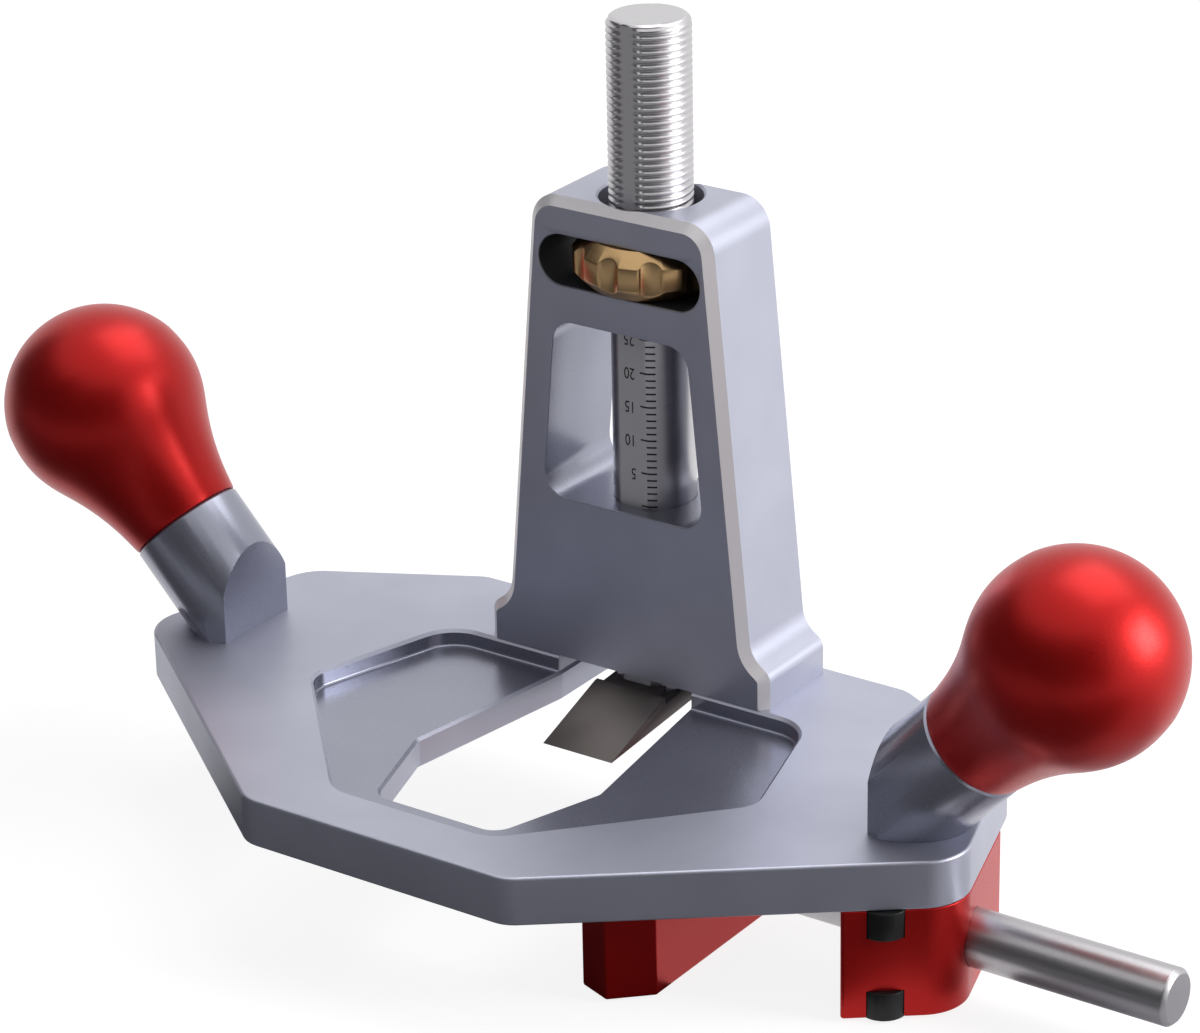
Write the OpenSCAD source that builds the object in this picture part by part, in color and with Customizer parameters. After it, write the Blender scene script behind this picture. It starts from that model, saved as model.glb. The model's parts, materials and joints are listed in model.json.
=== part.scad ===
// Hand router plane: a flat sole plate with a throat, a tower that carries a threaded
// depth post and its blade, two leaning ball knobs, and an edge fence on a sliding rod.
// Frame: +X towards the fence, +Y away from the cutting edge, +Z up, in millimetres.
// The origin lies on the sole plane, under the axis of the depth post.

/* [Sole plate] */
// Thickness of the sole plate
plate_t = 7; // [6:0.5:9]
// Width across the two widest corners
plate_w = 138; // [132:1:156]
// Distance of the widest corners ahead of the post axis
wide_ahead = 31.2; // [28:0.2:34]
// Width of the front edge
front_w = 43; // [36:1:52]
// Distance of the front edge ahead of the post axis
plate_ahead = 67.8; // [66:0.2:76]
// Width across the rear end corners
end_w = 121; // [118:1:128]
// Distance of the rear end corners ahead of the post axis
end_ahead = 4; // [2:0.5:6]
// Width of the rear edge
rear_w = 73; // [60:1:84]
// Distance of the rear edge behind the post axis
plate_behind = 8.5; // [8.5:0.5:14]
// Corner radius at the front edge
front_r = 5; // [2:0.5:8]
// Corner radius at the widest corners
wide_r = 7; // [3:0.5:9]
// Corner radius at the rear end corners
end_r = 7; // [3:0.5:9]
// Bevel along the top edge of the plate
plate_bevel = 0.6; // [0.2:0.1:1]
// Bevel along the sole edge of the plate
sole_bevel = 0.3; // [0.1:0.1:0.6]

/* [Pocket] */
// Depth of the pocket in the top face
pocket_depth = 2.5; // [1:0.25:4]
// Distance of the pocket's front edge ahead of the post axis
pocket_ahead = 59; // [57:0.5:62]
// Width of the pocket's front edge
pocket_front_w = 26; // [20:1:32]
// Width of the pocket across its widest corners
pocket_w = 75; // [66:1:84]
// Distance of the pocket's widest corners ahead of the post axis
pocket_wide_ahead = 32.5; // [29:0.5:36]
// Width of the pocket's rear edge
pocket_rear_w = 61; // [52:1:66]
// Corner radius at the pocket's front edge
pocket_front_r = 6; // [3:0.5:8]
// Corner radius at the pocket's widest corners
pocket_wide_r = 4; // [3:0.5:6]
// Corner radius at the pocket's rear edge
pocket_rear_r = 6; // [3:0.5:8]

/* [Throat] */
// Distance of the throat's front edge ahead of the post axis
throat_ahead = 53.6; // [50:0.2:55]
// Width of the throat's front edge
throat_front_w = 20; // [14:1:24]
// Width of the throat across its widest corners
throat_w = 30.6; // [26:0.2:36]
// Distance of the throat's widest corners ahead of the post axis
throat_wide_ahead = 37.2; // [34:0.2:42]
// Width of the throat under the tower
throat_rear_w = 22; // [18:0.5:24]
// Corner radius at the throat's front edge
throat_front_r = 3; // [1:0.5:4]
// Corner radius at the throat's widest corners
throat_wide_r = 2; // [1:0.5:4]
// Corner radius at the throat's rear end
throat_rear_r = 4; // [2:0.5:5]

/* [Tower] */
// Height of the tower above the plate
tower_h = 69.6; // [68:0.2:80]
// Depth of the tower from front to back
tower_d = 16.4; // [15.6:0.2:20]
// Distance of the tower's front face ahead of the post axis
tower_ahead = 8.4; // [7.8:0.1:9]
// Width of the tower's top
tower_top_w = 29.4; // [29:0.2:36]
// Width of the tower just above its foot
tower_waist_w = 41; // [38:0.5:44]
// Height at which the sides leave the foot
waist_rise = 7.4; // [6.5:0.1:9]
// Width of the tower's foot
foot_w = 47.4; // [46:0.2:52]
// Height of the foot's upright side
foot_h = 5; // [4:0.25:5.5]
// Corner radius at the tower's top
tower_top_r = 4.5; // [2:0.5:6]
// Radius of the hollow between the sides and the foot
waist_r = 4.5; // [2:0.5:5]
// Corner radius of the foot
foot_r = 2; // [1:0.5:2.5]
// Bevel around the tower's front and back faces
tower_bevel = 1.3; // [0.6:0.1:1.6]
// Size of the screws that hold the tower
tower_screw_d = 4; // [3:0.5:4.5]

/* [Nut slot and window] */
// Height of the nut slot's floor above the plate
slot_rise = 56.9; // [56:0.1:58]
// Width of the nut slot
slot_w = 26.6; // [25:0.2:27]
// Height of the window's sill above the plate
window_rise = 24.9; // [24:0.1:27]
// Height of the window
window_h = 26.6; // [20:0.2:27]
// Width of the window at its top
window_top_w = 22; // [19:0.5:24]
// Width of the window at its sill
window_sill_w = 27; // [24:0.5:30]
// Corner radius of the window
window_r = 3.5; // [2:0.5:5]

/* [Depth post and nut] */
// Diameter of the depth post
post_d = 11.8; // [11:0.1:12]
// Height of the post's end above the tower at rest
post_proud = 25.6; // [24:0.2:36]
// Depth of the flat that carries the scale
flat_depth = 0.5; // [0.3:0.1:1]
// Bevel on the post's top end
post_bevel = 1.2; // [0.4:0.1:1.6]
// Diameter of the clearance hole in the tower's top
mouth_d = 14.6; // [13.2:0.2:16]
// Travel of the post below its rest place
travel_down = 24; // [16:1:26]
// Travel of the post above its rest place
travel_up = 1.5; // [0.5:0.25:1.5]
// Diameter of the depth nut
nut_d = 22; // [20:0.5:24]
// Height of the depth nut
nut_h = 7.2; // [6:0.2:8]
// Number of finger grooves around the nut
nut_grooves = 11; // [8:1:14]
// Radius of each finger groove
groove_r = 2.2; // [1.6:0.1:3]
// Depth of each finger groove
groove_depth = 0.9; // [0.5:0.1:1.4]
// Bevel on the nut's two rims
nut_bevel = 2; // [0.4:0.1:2.4]

/* [Blade] */
// Width of the cutting edge
blade_w = 11.8; // [8:0.2:14]
// Width of the blade's neck under the post
neck_w = 8; // [7.8:0.1:8.6]
// Thickness of the blade
blade_t = 3.6; // [3.2:0.1:3.8]
// Distance of the cutting edge ahead of the post axis
blade_reach = 20.6; // [19:0.2:24]
// Length of the blade behind the post axis
heel_l = 4.6; // [4:0.1:4.8]
// Length of the blade's full-width head
head_l = 14; // [12:0.5:14.4]
// Depth of the cutting edge below the sole
cut_depth = 0.5; // [0.2:0.1:1]
// Angle by which the blade's underside rises from the edge
relief_angle = 4.5; // [3:0.5:5]
// Angle of the ground bevel to the underside
bevel_angle = 15; // [14.5:0.5:24]
// Depth of the post's end slot that holds the blade's neck
neck_seat = 1; // [0.6:0.1:1.4]
// Size of the screw that holds the blade
blade_screw_d = 4; // [3:0.5:4]

/* [Post lock and guide] */
// Height of the lock screw above the plate
lock_rise = 19.4; // [18.4:0.1:20]
// Size of the lock screw
lock_d = 6; // [5:0.5:6]
// Length of the brass pad in front of the lock screw
pad_l = 4; // [3:0.25:6]
// Depth of the lock screw's end below the tower's side
lock_recess = 1.5; // [1:0.25:2.5]
// Height of the guide screw above the plate
guide_rise = 10.7; // [10.4:0.1:12]
// Size of the guide screw
guide_d = 4; // [4:0.5:5]
// Diameter of the guide screw's dog point
dog_d = 3; // [2:0.25:3.25]
// Depth of the post's keyway
key_depth = 1.3; // [0.8:0.1:1.6]

/* [Handles] */
// Lean of each knob away from upright
handle_lean = 43; // [36:1:48]
// Distance of the knobs ahead of the post axis
handle_ahead = 24; // [22:0.5:27]
// Distance of the collar's flat face from the widest corner
collar_inset = 14.7; // [13.5:0.1:16]
// Diameter of the collar
collar_d = 16.9; // [15:0.1:18]
// Length of the collar along its axis
collar_l = 19.1; // [17:0.1:24]
// Diameter of the knob's ball
knob_d = 29.3; // [26:0.1:34]
// Distance of the ball's centre above the collar
knob_rise = 20.9; // [19:0.1:24]
// Radius of the hollow between ball and neck
hollow_r = 36; // [28:1:44]
// Diameter of the stud between collar and knob
stud_d = 6; // [5:0.5:8]
// Length of the stud inside the knob
stud_in_knob = 14; // [10:0.5:18]
// Length of the stud inside the collar
stud_in_collar = 8; // [6:0.5:8.5]
// Size of the screws that hold each collar
collar_screw_d = 4; // [3:0.5:4]

/* [Fence] */
// Height of the fence block and bar below the sole
fence_h = 16; // [15:0.5:20]
// Width of the fence block at its rear end
block_end_w = 6.3; // [5.5:0.1:7]
// Distance of the fence block's rear face ahead of the post axis
block_rear_ahead = 9.5; // [8:0.25:10]
// Diameter of the fence rod
rod_d = 8; // [6:0.5:8.5]
// Length of the fence rod
rod_l = 73; // [66:0.5:90]
// Distance of the rod ahead of the post axis
rod_ahead = 24.5; // [23.5:0.25:25.5]
// Distance of the bar's guide face to the right of the post axis at rest
bar_face = 22.4; // [21:0.2:26]
// Width of the fence bar
bar_w = 10; // [9:0.25:12]
// Distance of the bar's nose ahead of the post axis
bar_ahead = 53.6; // [48:0.2:60]
// Length of the fence bar
bar_l = 58; // [50:0.5:62]
// Set-back of the nose's left corner
nose_left = 1.8; // [1:0.2:4]
// Set-back of the nose's right corner
nose_right = 4.8; // [3:0.2:8]
// Depth of the rod's seat in the bar
rod_seat = 8; // [6:0.25:8]
// Size of the screws that hold the block
block_screw_d = 4; // [3.5:0.5:4]
// Diameter of the block screws' heads
block_head_d = 6.6; // [6:0.1:6.7]
// Height of the block screws' heads
block_head_h = 4; // [3:0.1:4.4]
// Distance of the front block screw behind the block's front face, along Y
notch_inset = 2.87; // [2.6:0.05:3.1]
// Wall between a block screw's counterbore and the nearest face of the block
block_wall = 0.3; // [0.2:0.1:0.5]
// Wall between the rear block screw's counterbore and the block's rear face
block_rear_wall = 0.9; // [0.6:0.1:2]
// Size of the small set screws in the bar and the block
set_d = 4; // [3:0.5:5]

/* [Fits] */
// Radial gap of a shaft or thread in its hole
run_gap = 0.05; // [0.03:0.01:0.08]
// Gap between flat faces that slide or seat
face_gap = 0.2; // [0.1:0.05:0.3]
// Gap between the nut and each wall of its slot
nut_gap = 0.2; // [0.1:0.05:0.4]
// Gap of the post to the throat's rear end
throat_gap = 1; // [0.6:0.1:1.4]

/* [Hidden] */
$fn = 64;

// Overshoot of a cutting shape past the face that it opens
over = 0.5;
// Size of a half space that cuts everything on one side of a plane
far = 200;
// Turn between two points of a rounded corner, in degrees
arc_turn = 9;

// Heights
slot_z = plate_t + slot_rise;
slot_h = nut_h + 2 * nut_gap;
tower_top = plate_t + tower_h;
post_top = tower_top + post_proud;
lock_z = plate_t + lock_rise;
guide_z = plate_t + guide_rise;
rod_z = -fence_h / 2;

// Places along Y
tower_back = tower_d - tower_ahead;
post_r = post_d / 2;
bore_d = post_d + 2 * run_gap;

// Tapped holes and their depths
tap_in_tower = 10;
tap_in_collar = 5;
tap_in_plate = plate_t - 1.5;
screw_in_tower = 8;
screw_in_collar = 4;
screw_in_plate = 4.5;
// Depth by which a countersunk head lies below the face
head_sink = 0.1;
// Head diameter of a countersunk screw per unit of its size
csk_ratio = 1.8;
// Key size of a hexagon socket per unit of the screw size
key_ratio = 0.5;
tower_screw_x = (throat_rear_w / 2 + foot_w / 2) / 2;
tower_screw_y = tower_d * 0.27;

// Handle places
collar_face_x = plate_w / 2 - collar_inset;
collar_axis_x = collar_face_x - 0.7;
collar_screw_x = collar_face_x + csk_ratio * collar_screw_d / 2 + 0.3;
collar_screw_y = csk_ratio * collar_screw_d / 2 + 0.5;
ball_r = knob_d / 2;
neck_r = collar_d / 2;

// Fence places
block_face_x = rear_side_x(-block_rear_ahead) - block_end_w;
counterbore_d = block_head_d + 4 * run_gap;
counterbore_h = block_head_h + 2 * run_gap;
block_screw_x = block_face_x + counterbore_d / 2 + block_wall;
block_screw_y = [
    front_side_y(block_screw_x) + notch_inset,
    -block_rear_ahead - block_rear_wall - counterbore_d / 2,
];
// Place of the set screw that locks the rod, at the middle of the block there
rod_lock_x = (block_face_x + rear_side_x(-rod_ahead)) / 2;
rod_start = bar_face + bar_w - rod_seat;

// Place of the plate's right rear side at a distance behind the post axis
function rear_side_x(y) =
    end_w / 2 + (plate_w - end_w) / 2 * (-end_ahead - y) / (wide_ahead - end_ahead);

// Place of the plate's right front side at a distance to the right of the post axis
function front_side_y(x) =
    -wide_ahead - (plate_ahead - wide_ahead) * (plate_w / 2 - x) / (plate_w / 2 - front_w / 2);

// Unit vector along v
function unit(v) = v / norm(v);

// Points of corner b between a and c, rounded to radius r
function corner(a, b, c, r) =
    r <= 0 ? [b] :
    let (
        u = unit(a - b),
        v = unit(c - b),
        half = acos(u * v) / 2,
        centre = b + unit(u + v) * r / sin(half),
        first = b + u * r / tan(half) - centre,
        last = b + v * r / tan(half) - centre,
        start = atan2(first[1], first[0]),
        turn = asin((first[0] * last[1] - first[1] * last[0]) / (r * r)),
        steps = max(2, ceil(abs(turn) / arc_turn))
    )
    [for (k = [0:steps]) centre + r * [cos(start + turn * k / steps), sin(start + turn * k / steps)]];

// Outline through [x, y, radius] corners
function rounded(p) = [
    for (i = [0:len(p) - 1])
        let (
            a = p[(i + len(p) - 1) % len(p)],
            c = p[(i + 1) % len(p)]
        )
        each corner([a[0], a[1]], [p[i][0], p[i][1]], [c[0], c[1]], p[i][2])
];

// Corners of the right half, then their mirror images in X, anticlockwise
function both_sides(p) = concat(p, [for (i = [len(p) - 1:-1:0]) [-p[i][0], p[i][1], p[i][2]]]);

// Left normal of the side from a to b
function side_normal(a, b) = let (d = unit(b - a)) [-d[1], d[0]];

// Anticlockwise outline moved inwards by d
function inset(p, d) = [
    for (i = [0:len(p) - 1])
        let (
            n = side_normal(p[(i + len(p) - 1) % len(p)], p[i]),
            m = side_normal(p[i], p[(i + 1) % len(p)])
        )
        p[i] + (n + m) * d / (1 + n * m)
];

// Points of a circle's arc
function arc(centre, r, from, to, steps) = [
    for (k = [0:steps])
        centre + r * [cos(from + (to - from) * k / steps), sin(from + (to - from) * k / steps)]
];

plate_outline = rounded(both_sides([
    [front_w / 2, -plate_ahead, front_r],
    [plate_w / 2, -wide_ahead, wide_r],
    [end_w / 2, -end_ahead, end_r],
    [rear_w / 2, plate_behind, front_r],
]));

pocket_outline = rounded(both_sides([
    [pocket_front_w / 2, -pocket_ahead, pocket_front_r],
    [pocket_w / 2, -pocket_wide_ahead, pocket_wide_r],
    [pocket_rear_w / 2, -tower_ahead - 0.2, pocket_rear_r],
]));

throat_outline = rounded(both_sides([
    [throat_front_w / 2, -throat_ahead, throat_front_r],
    [throat_w / 2, -throat_wide_ahead, throat_wide_r],
    [throat_rear_w / 2, -tower_ahead, throat_wide_r],
    [throat_rear_w / 2, post_r + throat_gap, throat_rear_r],
]));

// The tower seen from the front, reaching below its foot by more than its bevel
tower_outline = rounded(both_sides([
    [foot_w / 2, -2 * tower_bevel, 0],
    [foot_w / 2, foot_h, foot_r],
    [tower_waist_w / 2, waist_rise, waist_r],
    [tower_top_w / 2, tower_h, tower_top_r],
]));

window_outline = rounded(both_sides([
    [window_sill_w / 2, window_rise, window_r],
    [window_top_w / 2, window_rise + window_h, window_r],
]));

bar_outline = [
    [bar_face, -bar_ahead + nose_left],
    [bar_face + bar_w / 2, -bar_ahead],
    [bar_face + bar_w, -bar_ahead + nose_right],
    [bar_face + bar_w, bar_l - bar_ahead],
    [bar_face, bar_l - bar_ahead],
];

// Half width of the tower at a height above the plate
function tower_half(h) =
    (tower_waist_w + (tower_top_w - tower_waist_w) * (h - waist_rise) / (tower_h - waist_rise)) / 2;

// Prism on an anticlockwise outline, with its lower and upper edges bevelled and cut off at a floor
module slab(outline, h, low, high, floor_y = -far) {
    rings = [
        [inset(outline, low), 0],
        [outline, low],
        [outline, h - high],
        [inset(outline, high), h],
    ];
    n = len(outline);
    polyhedron(
        points = [for (ring = rings) for (p = ring[0]) [p[0], max(p[1], floor_y), ring[1]]],
        faces = concat(
            [[for (i = [0:n - 1]) i]],
            [for (k = [0:2]) for (i = [0:n - 1])
                [k * n + i, (k + 1) * n + i, (k + 1) * n + (i + 1) % n, k * n + (i + 1) % n]],
            [[for (i = [n - 1:-1:0]) 3 * n + i]]
        )
    );
}

// Hexagon socket that opens downwards at the origin
module socket(size) {
    translate([0, 0, -over]) cylinder(d = size * key_ratio * 1.1547, h = size * 0.5 + over, $fn = 6);
}

// Countersunk screw whose head faces down, flush with z = 0
module csk_screw(size, length) {
    head = size * csk_ratio;
    difference() {
        union() {
            cylinder(d1 = head, d2 = size, h = (head - size) / 2);
            cylinder(d = size, h = length);
        }
        socket(size);
    }
}

// Hole for a countersunk screw, cut upwards from z = 0
module csk_hole(size, length) {
    mouth = size * csk_ratio + 2 * run_gap + 2 * head_sink;
    translate([0, 0, -over]) cylinder(d = size + 2 * run_gap, h = length + over);
    cylinder(d1 = mouth, d2 = size + 2 * run_gap, h = (mouth - size) / 2 - run_gap);
    translate([0, 0, -over]) cylinder(d = mouth, h = over);
}

// Headless screw with its socket at z = 0 and its point at z = length
module grub_screw(size, length) {
    difference() {
        cylinder(d = size, h = length);
        socket(size);
    }
}

// Places of the four tower screws on the sole
module at_tower_screws() {
    for (sx = [-1, 1], sy = [-1, 1])
        translate([sx * tower_screw_x, tower_back - tower_d / 2 + sy * tower_screw_y, 0]) children();
}

// Places of the two screws of the right collar on the sole
module at_collar_screws() {
    for (sy = [-1, 1])
        translate([collar_screw_x, sy * collar_screw_y - handle_ahead, 0]) children();
}

// Places of the two block screws on the right side of the sole
module at_block_screws() {
    for (y = block_screw_y)
        translate([block_screw_x, y, 0]) children();
}

// The shape and its mirror image in X
module mirrored_pair() {
    children();
    mirror([1, 0, 0]) children();
}

// Frame of the blade: origin at the cutting edge, +Y along its underside, +Z out of its back
module in_blade_frame() {
    translate([0, -blade_reach, -cut_depth]) rotate([relief_angle, 0, 0]) children();
}

// Frame of the right handle: origin on the plate, +Z up its leaning axis
module in_handle_frame() {
    translate([collar_axis_x, -handle_ahead, plate_t]) rotate([0, handle_lean, 0]) children();
}

// Frame at a height on the tower's left side: origin on the post axis, +Z towards the side
module facing_left(z) {
    translate([0, 0, z]) rotate([0, -90, 0]) children();
}

module base_plate() {
    color("slategray")
    difference() {
        slab(plate_outline, plate_t, sole_bevel, plate_bevel);
        translate([0, 0, plate_t - pocket_depth])
            linear_extrude(pocket_depth + over) polygon(pocket_outline);
        translate([0, 0, -over])
            linear_extrude(plate_t + 2 * over) polygon(throat_outline);
        at_tower_screws() csk_hole(tower_screw_d, plate_t + over);
        mirrored_pair() at_collar_screws() csk_hole(collar_screw_d, plate_t + over);
        mirrored_pair() at_block_screws()
            translate([0, 0, -over]) cylinder(d = block_screw_d + 2 * run_gap, h = tap_in_plate + over);
    }
}

module tower() {
    color("slategray")
    difference() {
        translate([0, tower_back, plate_t]) rotate([90, 0, 0])
            slab(tower_outline, tower_d, tower_bevel, tower_bevel, 0);
        nut_slot();
        translate([0, tower_back + over, plate_t]) rotate([90, 0, 0])
            linear_extrude(tower_d + 2 * over) polygon(window_outline);
        cylinder(d = bore_d, h = slot_z + over);
        translate([0, 0, slot_z]) cylinder(d = mouth_d, h = far);
        at_tower_screws() cylinder(d = tower_screw_d + 2 * run_gap, h = plate_t + tap_in_tower);
        facing_left(lock_z) cylinder(d = lock_d + 2 * run_gap, h = far);
        facing_left(guide_z) cylinder(d = guide_d + 2 * run_gap, h = far);
    }
}

// Slot with round ends, through the tower from front to back
module nut_slot() {
    side = (slot_w - slot_h) / 2;
    translate([0, tower_back + over, slot_z + slot_h / 2]) rotate([90, 0, 0]) {
        for (sx = [-1, 1]) translate([sx * side, 0, 0]) cylinder(d = slot_h, h = tower_d + 2 * over);
        translate([-side, -slot_h / 2, 0]) cube([2 * side, slot_h, tower_d + 2 * over]);
    }
}

module tower_screws() {
    color("dimgray")
    at_tower_screws() translate([0, 0, head_sink]) csk_screw(tower_screw_d, plate_t + screw_in_tower);
}

// Headless screw whose dog point runs in the post's keyway
module guide_screw() {
    point_start = post_r + run_gap + 0.6;
    point_end = post_r - key_depth + face_gap;
    outer_end = tower_half(guide_rise) - 1;
    color("dimgray")
    facing_left(guide_z) {
        translate([0, 0, outer_end]) mirror([0, 0, 1]) grub_screw(guide_d, outer_end - point_start);
        translate([0, 0, point_end]) cylinder(d = dog_d, h = point_start - point_end + run_gap);
    }
}

module depth_post() {
    key_w = dog_d + 4 * run_gap;
    key_low = guide_z - travel_up - key_w / 2 - face_gap;
    key_high = guide_z + travel_down + key_w / 2 + face_gap;
    color("silver")
    difference() {
        union() {
            cylinder(r = post_r, h = post_top - post_bevel);
            translate([0, 0, post_top - post_bevel])
                cylinder(r1 = post_r, r2 = post_r - post_bevel, h = post_bevel);
        }
        // Flat along the front
        translate([-far / 2, -far - post_r + flat_depth, -over]) cube(far);
        // End that rests on the blade's neck
        in_blade_frame() translate([-far / 2, -far / 2, blade_t - neck_seat - far]) cube(far);
        in_blade_frame() translate([-neck_w / 2 - face_gap / 2, 0, 0])
            cube([neck_w + face_gap, far, blade_t + run_gap]);
        // Hole for the blade's screw
        in_blade_frame() translate([0, blade_reach, 0])
            cylinder(d = blade_screw_d + 2 * run_gap, h = blade_t + tap_in_tower);
        // Keyway with round ends
        translate([0, -key_w / 2, key_low + key_w / 2]) mirror([1, 0, 0])
            translate([post_r - key_depth, 0, 0]) cube([far, key_w, key_high - key_low - key_w]);
        for (z = [key_low + key_w / 2, key_high - key_w / 2])
            facing_left(z) translate([0, 0, post_r - key_depth]) cylinder(d = key_w, h = far);
    }
}

// Thumb wheel with bevelled rims and finger grooves, held between the slot's walls
module depth_nut() {
    nut_r = nut_d / 2;
    color("goldenrod")
    translate([0, 0, slot_z + nut_gap])
    difference() {
        rotate_extrude() polygon([
            [bore_d / 2, 0],
            [nut_r - nut_bevel, 0],
            [nut_r, nut_bevel],
            [nut_r, nut_h - nut_bevel],
            [nut_r - nut_bevel, nut_h],
            [bore_d / 2, nut_h],
        ]);
        // The first groove faces the front
        for (k = [0:nut_grooves - 1])
            rotate([0, 0, k * 360 / nut_grooves]) translate([0, -nut_r + groove_depth - groove_r, -over])
                cylinder(r = groove_r, h = nut_h + 2 * over);
    }
}

// Wedge-ground foot: a wide head with the edge, and a neck with low shoulders that the post's end
// seats on
module blade() {
    foot_l = blade_reach + heel_l;
    head_profile = [[0, 0], [head_l, 0], [head_l, blade_t], [blade_t / tan(bevel_angle), blade_t]];
    color("lightsteelblue")
    in_blade_frame() difference() {
        union() {
            translate([-blade_w / 2, 0, 0]) rotate([90, 0, 90]) linear_extrude(blade_w) polygon(head_profile);
            translate([-neck_w / 2, head_l - over, 0]) cube([neck_w, foot_l - head_l + over, blade_t]);
            translate([-blade_w / 2, head_l - over, 0])
                cube([blade_w, foot_l - head_l + over, blade_t - neck_seat - run_gap]);
        }
        translate([0, blade_reach, 0]) csk_hole(blade_screw_d, blade_t + over);
    }
}

module blade_screw() {
    color("dimgray")
    in_blade_frame() translate([0, blade_reach, head_sink]) csk_screw(blade_screw_d, blade_t + screw_in_tower);
}

// Brass pad with a hollow end that bears on the post
module post_lock_pad() {
    color("goldenrod")
    difference() {
        facing_left(lock_z) cylinder(d = lock_d - 0.4, h = post_r + pad_l);
        cylinder(r = post_r + run_gap, h = tower_top);
    }
}

module post_lock_screw() {
    inner_end = post_r + pad_l + run_gap;
    outer_end = tower_half(lock_rise) - lock_recess;
    color("dimgray")
    facing_left(lock_z) translate([0, 0, outer_end]) mirror([0, 0, 1])
        grub_screw(lock_d, outer_end - inner_end);
}

// Leaning collar: a cylinder cut off by the plate and by an upright inner face
module collar() {
    corner_x = 2.8;
    corner_y = 1.3;
    lip = 0.4;
    color("slategray")
    difference() {
        in_handle_frame() union() {
            translate([0, 0, -collar_d]) cylinder(d = collar_d, h = collar_d + collar_l - lip);
            translate([0, 0, collar_l - lip]) cylinder(d1 = collar_d, d2 = collar_d - 2 * lip, h = lip);
        }
        translate([-far / 2, -far / 2, plate_t - far]) cube(far);
        translate([collar_face_x - far, -far / 2, 0]) cube(far);
        // Broken corners between the inner face and the round
        for (sy = [-1, 1])
            translate([collar_face_x, sy * neck_r - handle_ahead, 0]) linear_extrude(far)
                polygon([[-over, -sy * corner_y - sy * over * corner_y / corner_x], [corner_x, 0],
                    [corner_x, sy * over], [-over, sy * over]]);
        at_collar_screws()
            cylinder(d = collar_screw_d + 2 * run_gap, h = plate_t + tap_in_collar);
        in_handle_frame() translate([0, 0, collar_l - stud_in_collar - run_gap])
            cylinder(d = stud_d + 2 * run_gap, h = far);
    }
}

module collar_screws() {
    color("dimgray")
    at_collar_screws() translate([0, 0, head_sink]) csk_screw(collar_screw_d, plate_t + screw_in_collar);
}

// Threaded stud between collar and knob
module stud() {
    color("silver")
    in_handle_frame() translate([0, 0, collar_l - stud_in_collar])
        cylinder(d = stud_d, h = stud_in_collar + stud_in_knob);
}

// Pear-shaped knob: a ball that runs into its neck by a hollow tangent to the ball
module knob() {
    ball = [0, knob_rise];
    neck = [neck_r, 0];
    reach = ball_r + hollow_r;
    chord = norm(ball - neck);
    swing = acos((reach * reach + chord * chord - hollow_r * hollow_r) / (2 * reach * chord));
    meet = atan2(-knob_rise, neck_r) + swing;
    hollow = ball + reach * [cos(meet), sin(meet)];
    neck_turn = atan2(-hollow[1], neck_r - hollow[0]);
    color("firebrick")
    in_handle_frame() translate([0, 0, collar_l])
    difference() {
        rotate_extrude() polygon(concat(
            [[0, 0]],
            arc(hollow, hollow_r, neck_turn, 180 + meet, 8),
            [for (p = arc(ball, ball_r, meet, 90, 24)) if (p != ball) [max(p[0], 0), p[1]]]
        ));
        translate([0, 0, -over]) cylinder(d = stud_d + 2 * run_gap, h = stud_in_knob + over + run_gap);
    }
}

module left_collar() {
    mirror([1, 0, 0]) collar();
}

module left_collar_screws() {
    mirror([1, 0, 0]) collar_screws();
}

module left_stud() {
    mirror([1, 0, 0]) stud();
}

module left_knob() {
    mirror([1, 0, 0]) knob();
}

// Block under the right end of the plate, flush with the plate's edge, bored for the rod
module fence_block() {
    color("firebrick")
    difference() {
        translate([0, 0, -fence_h]) linear_extrude(fence_h) polygon(plate_outline);
        translate([block_face_x - far, -far / 2, -far / 2]) cube(far);
        translate([0, -block_rear_ahead, -far / 2]) cube(far);
        translate([block_face_x - over, -rod_ahead, rod_z]) rotate([0, 90, 0])
            cylinder(d = rod_d + 2 * run_gap, h = far);
        at_block_screws() {
            translate([0, 0, -far / 2]) cylinder(d = block_screw_d + 2 * run_gap, h = far);
            translate([0, 0, -counterbore_h]) cylinder(d = counterbore_d, h = far);
            translate([0, 0, counterbore_h - fence_h - far]) cylinder(d = counterbore_d, h = far);
        }
        translate([rod_lock_x, -rod_ahead, -fence_h - over])
            cylinder(d = set_d + 2 * run_gap, h = fence_h / 2);
    }
}

// Socket-head screws from below the block into the plate
module block_screws() {
    color("dimgray")
    at_block_screws() translate([0, 0, -fence_h]) difference() {
        union() {
            cylinder(d = block_head_d, h = block_head_h);
            cylinder(d = block_screw_d, h = fence_h + screw_in_plate);
        }
        socket(block_screw_d * 1.5);
    }
}

// Black bushes round the block screws, in the block's upper counterbores
module block_bushes() {
    color("dimgray")
    at_block_screws() translate([0, 0, -block_head_h - run_gap]) difference() {
        cylinder(d = block_head_d, h = block_head_h);
        translate([0, 0, -over]) cylinder(d = block_screw_d + 2 * run_gap, h = block_head_h + 2 * over);
    }
}

module rod_lock_screw() {
    color("dimgray")
    translate([rod_lock_x, -rod_ahead, -fence_h + head_sink])
        grub_screw(set_d, (fence_h - rod_d) / 2 - head_sink - run_gap);
}

module fence_rod() {
    tip = 0.6;
    color("silver")
    translate([rod_start, -rod_ahead, rod_z]) rotate([0, 90, 0]) {
        cylinder(d = rod_d, h = rod_l - tip);
        translate([0, 0, rod_l - tip]) cylinder(d1 = rod_d, d2 = rod_d - 2 * tip, h = tip);
    }
}

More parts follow.
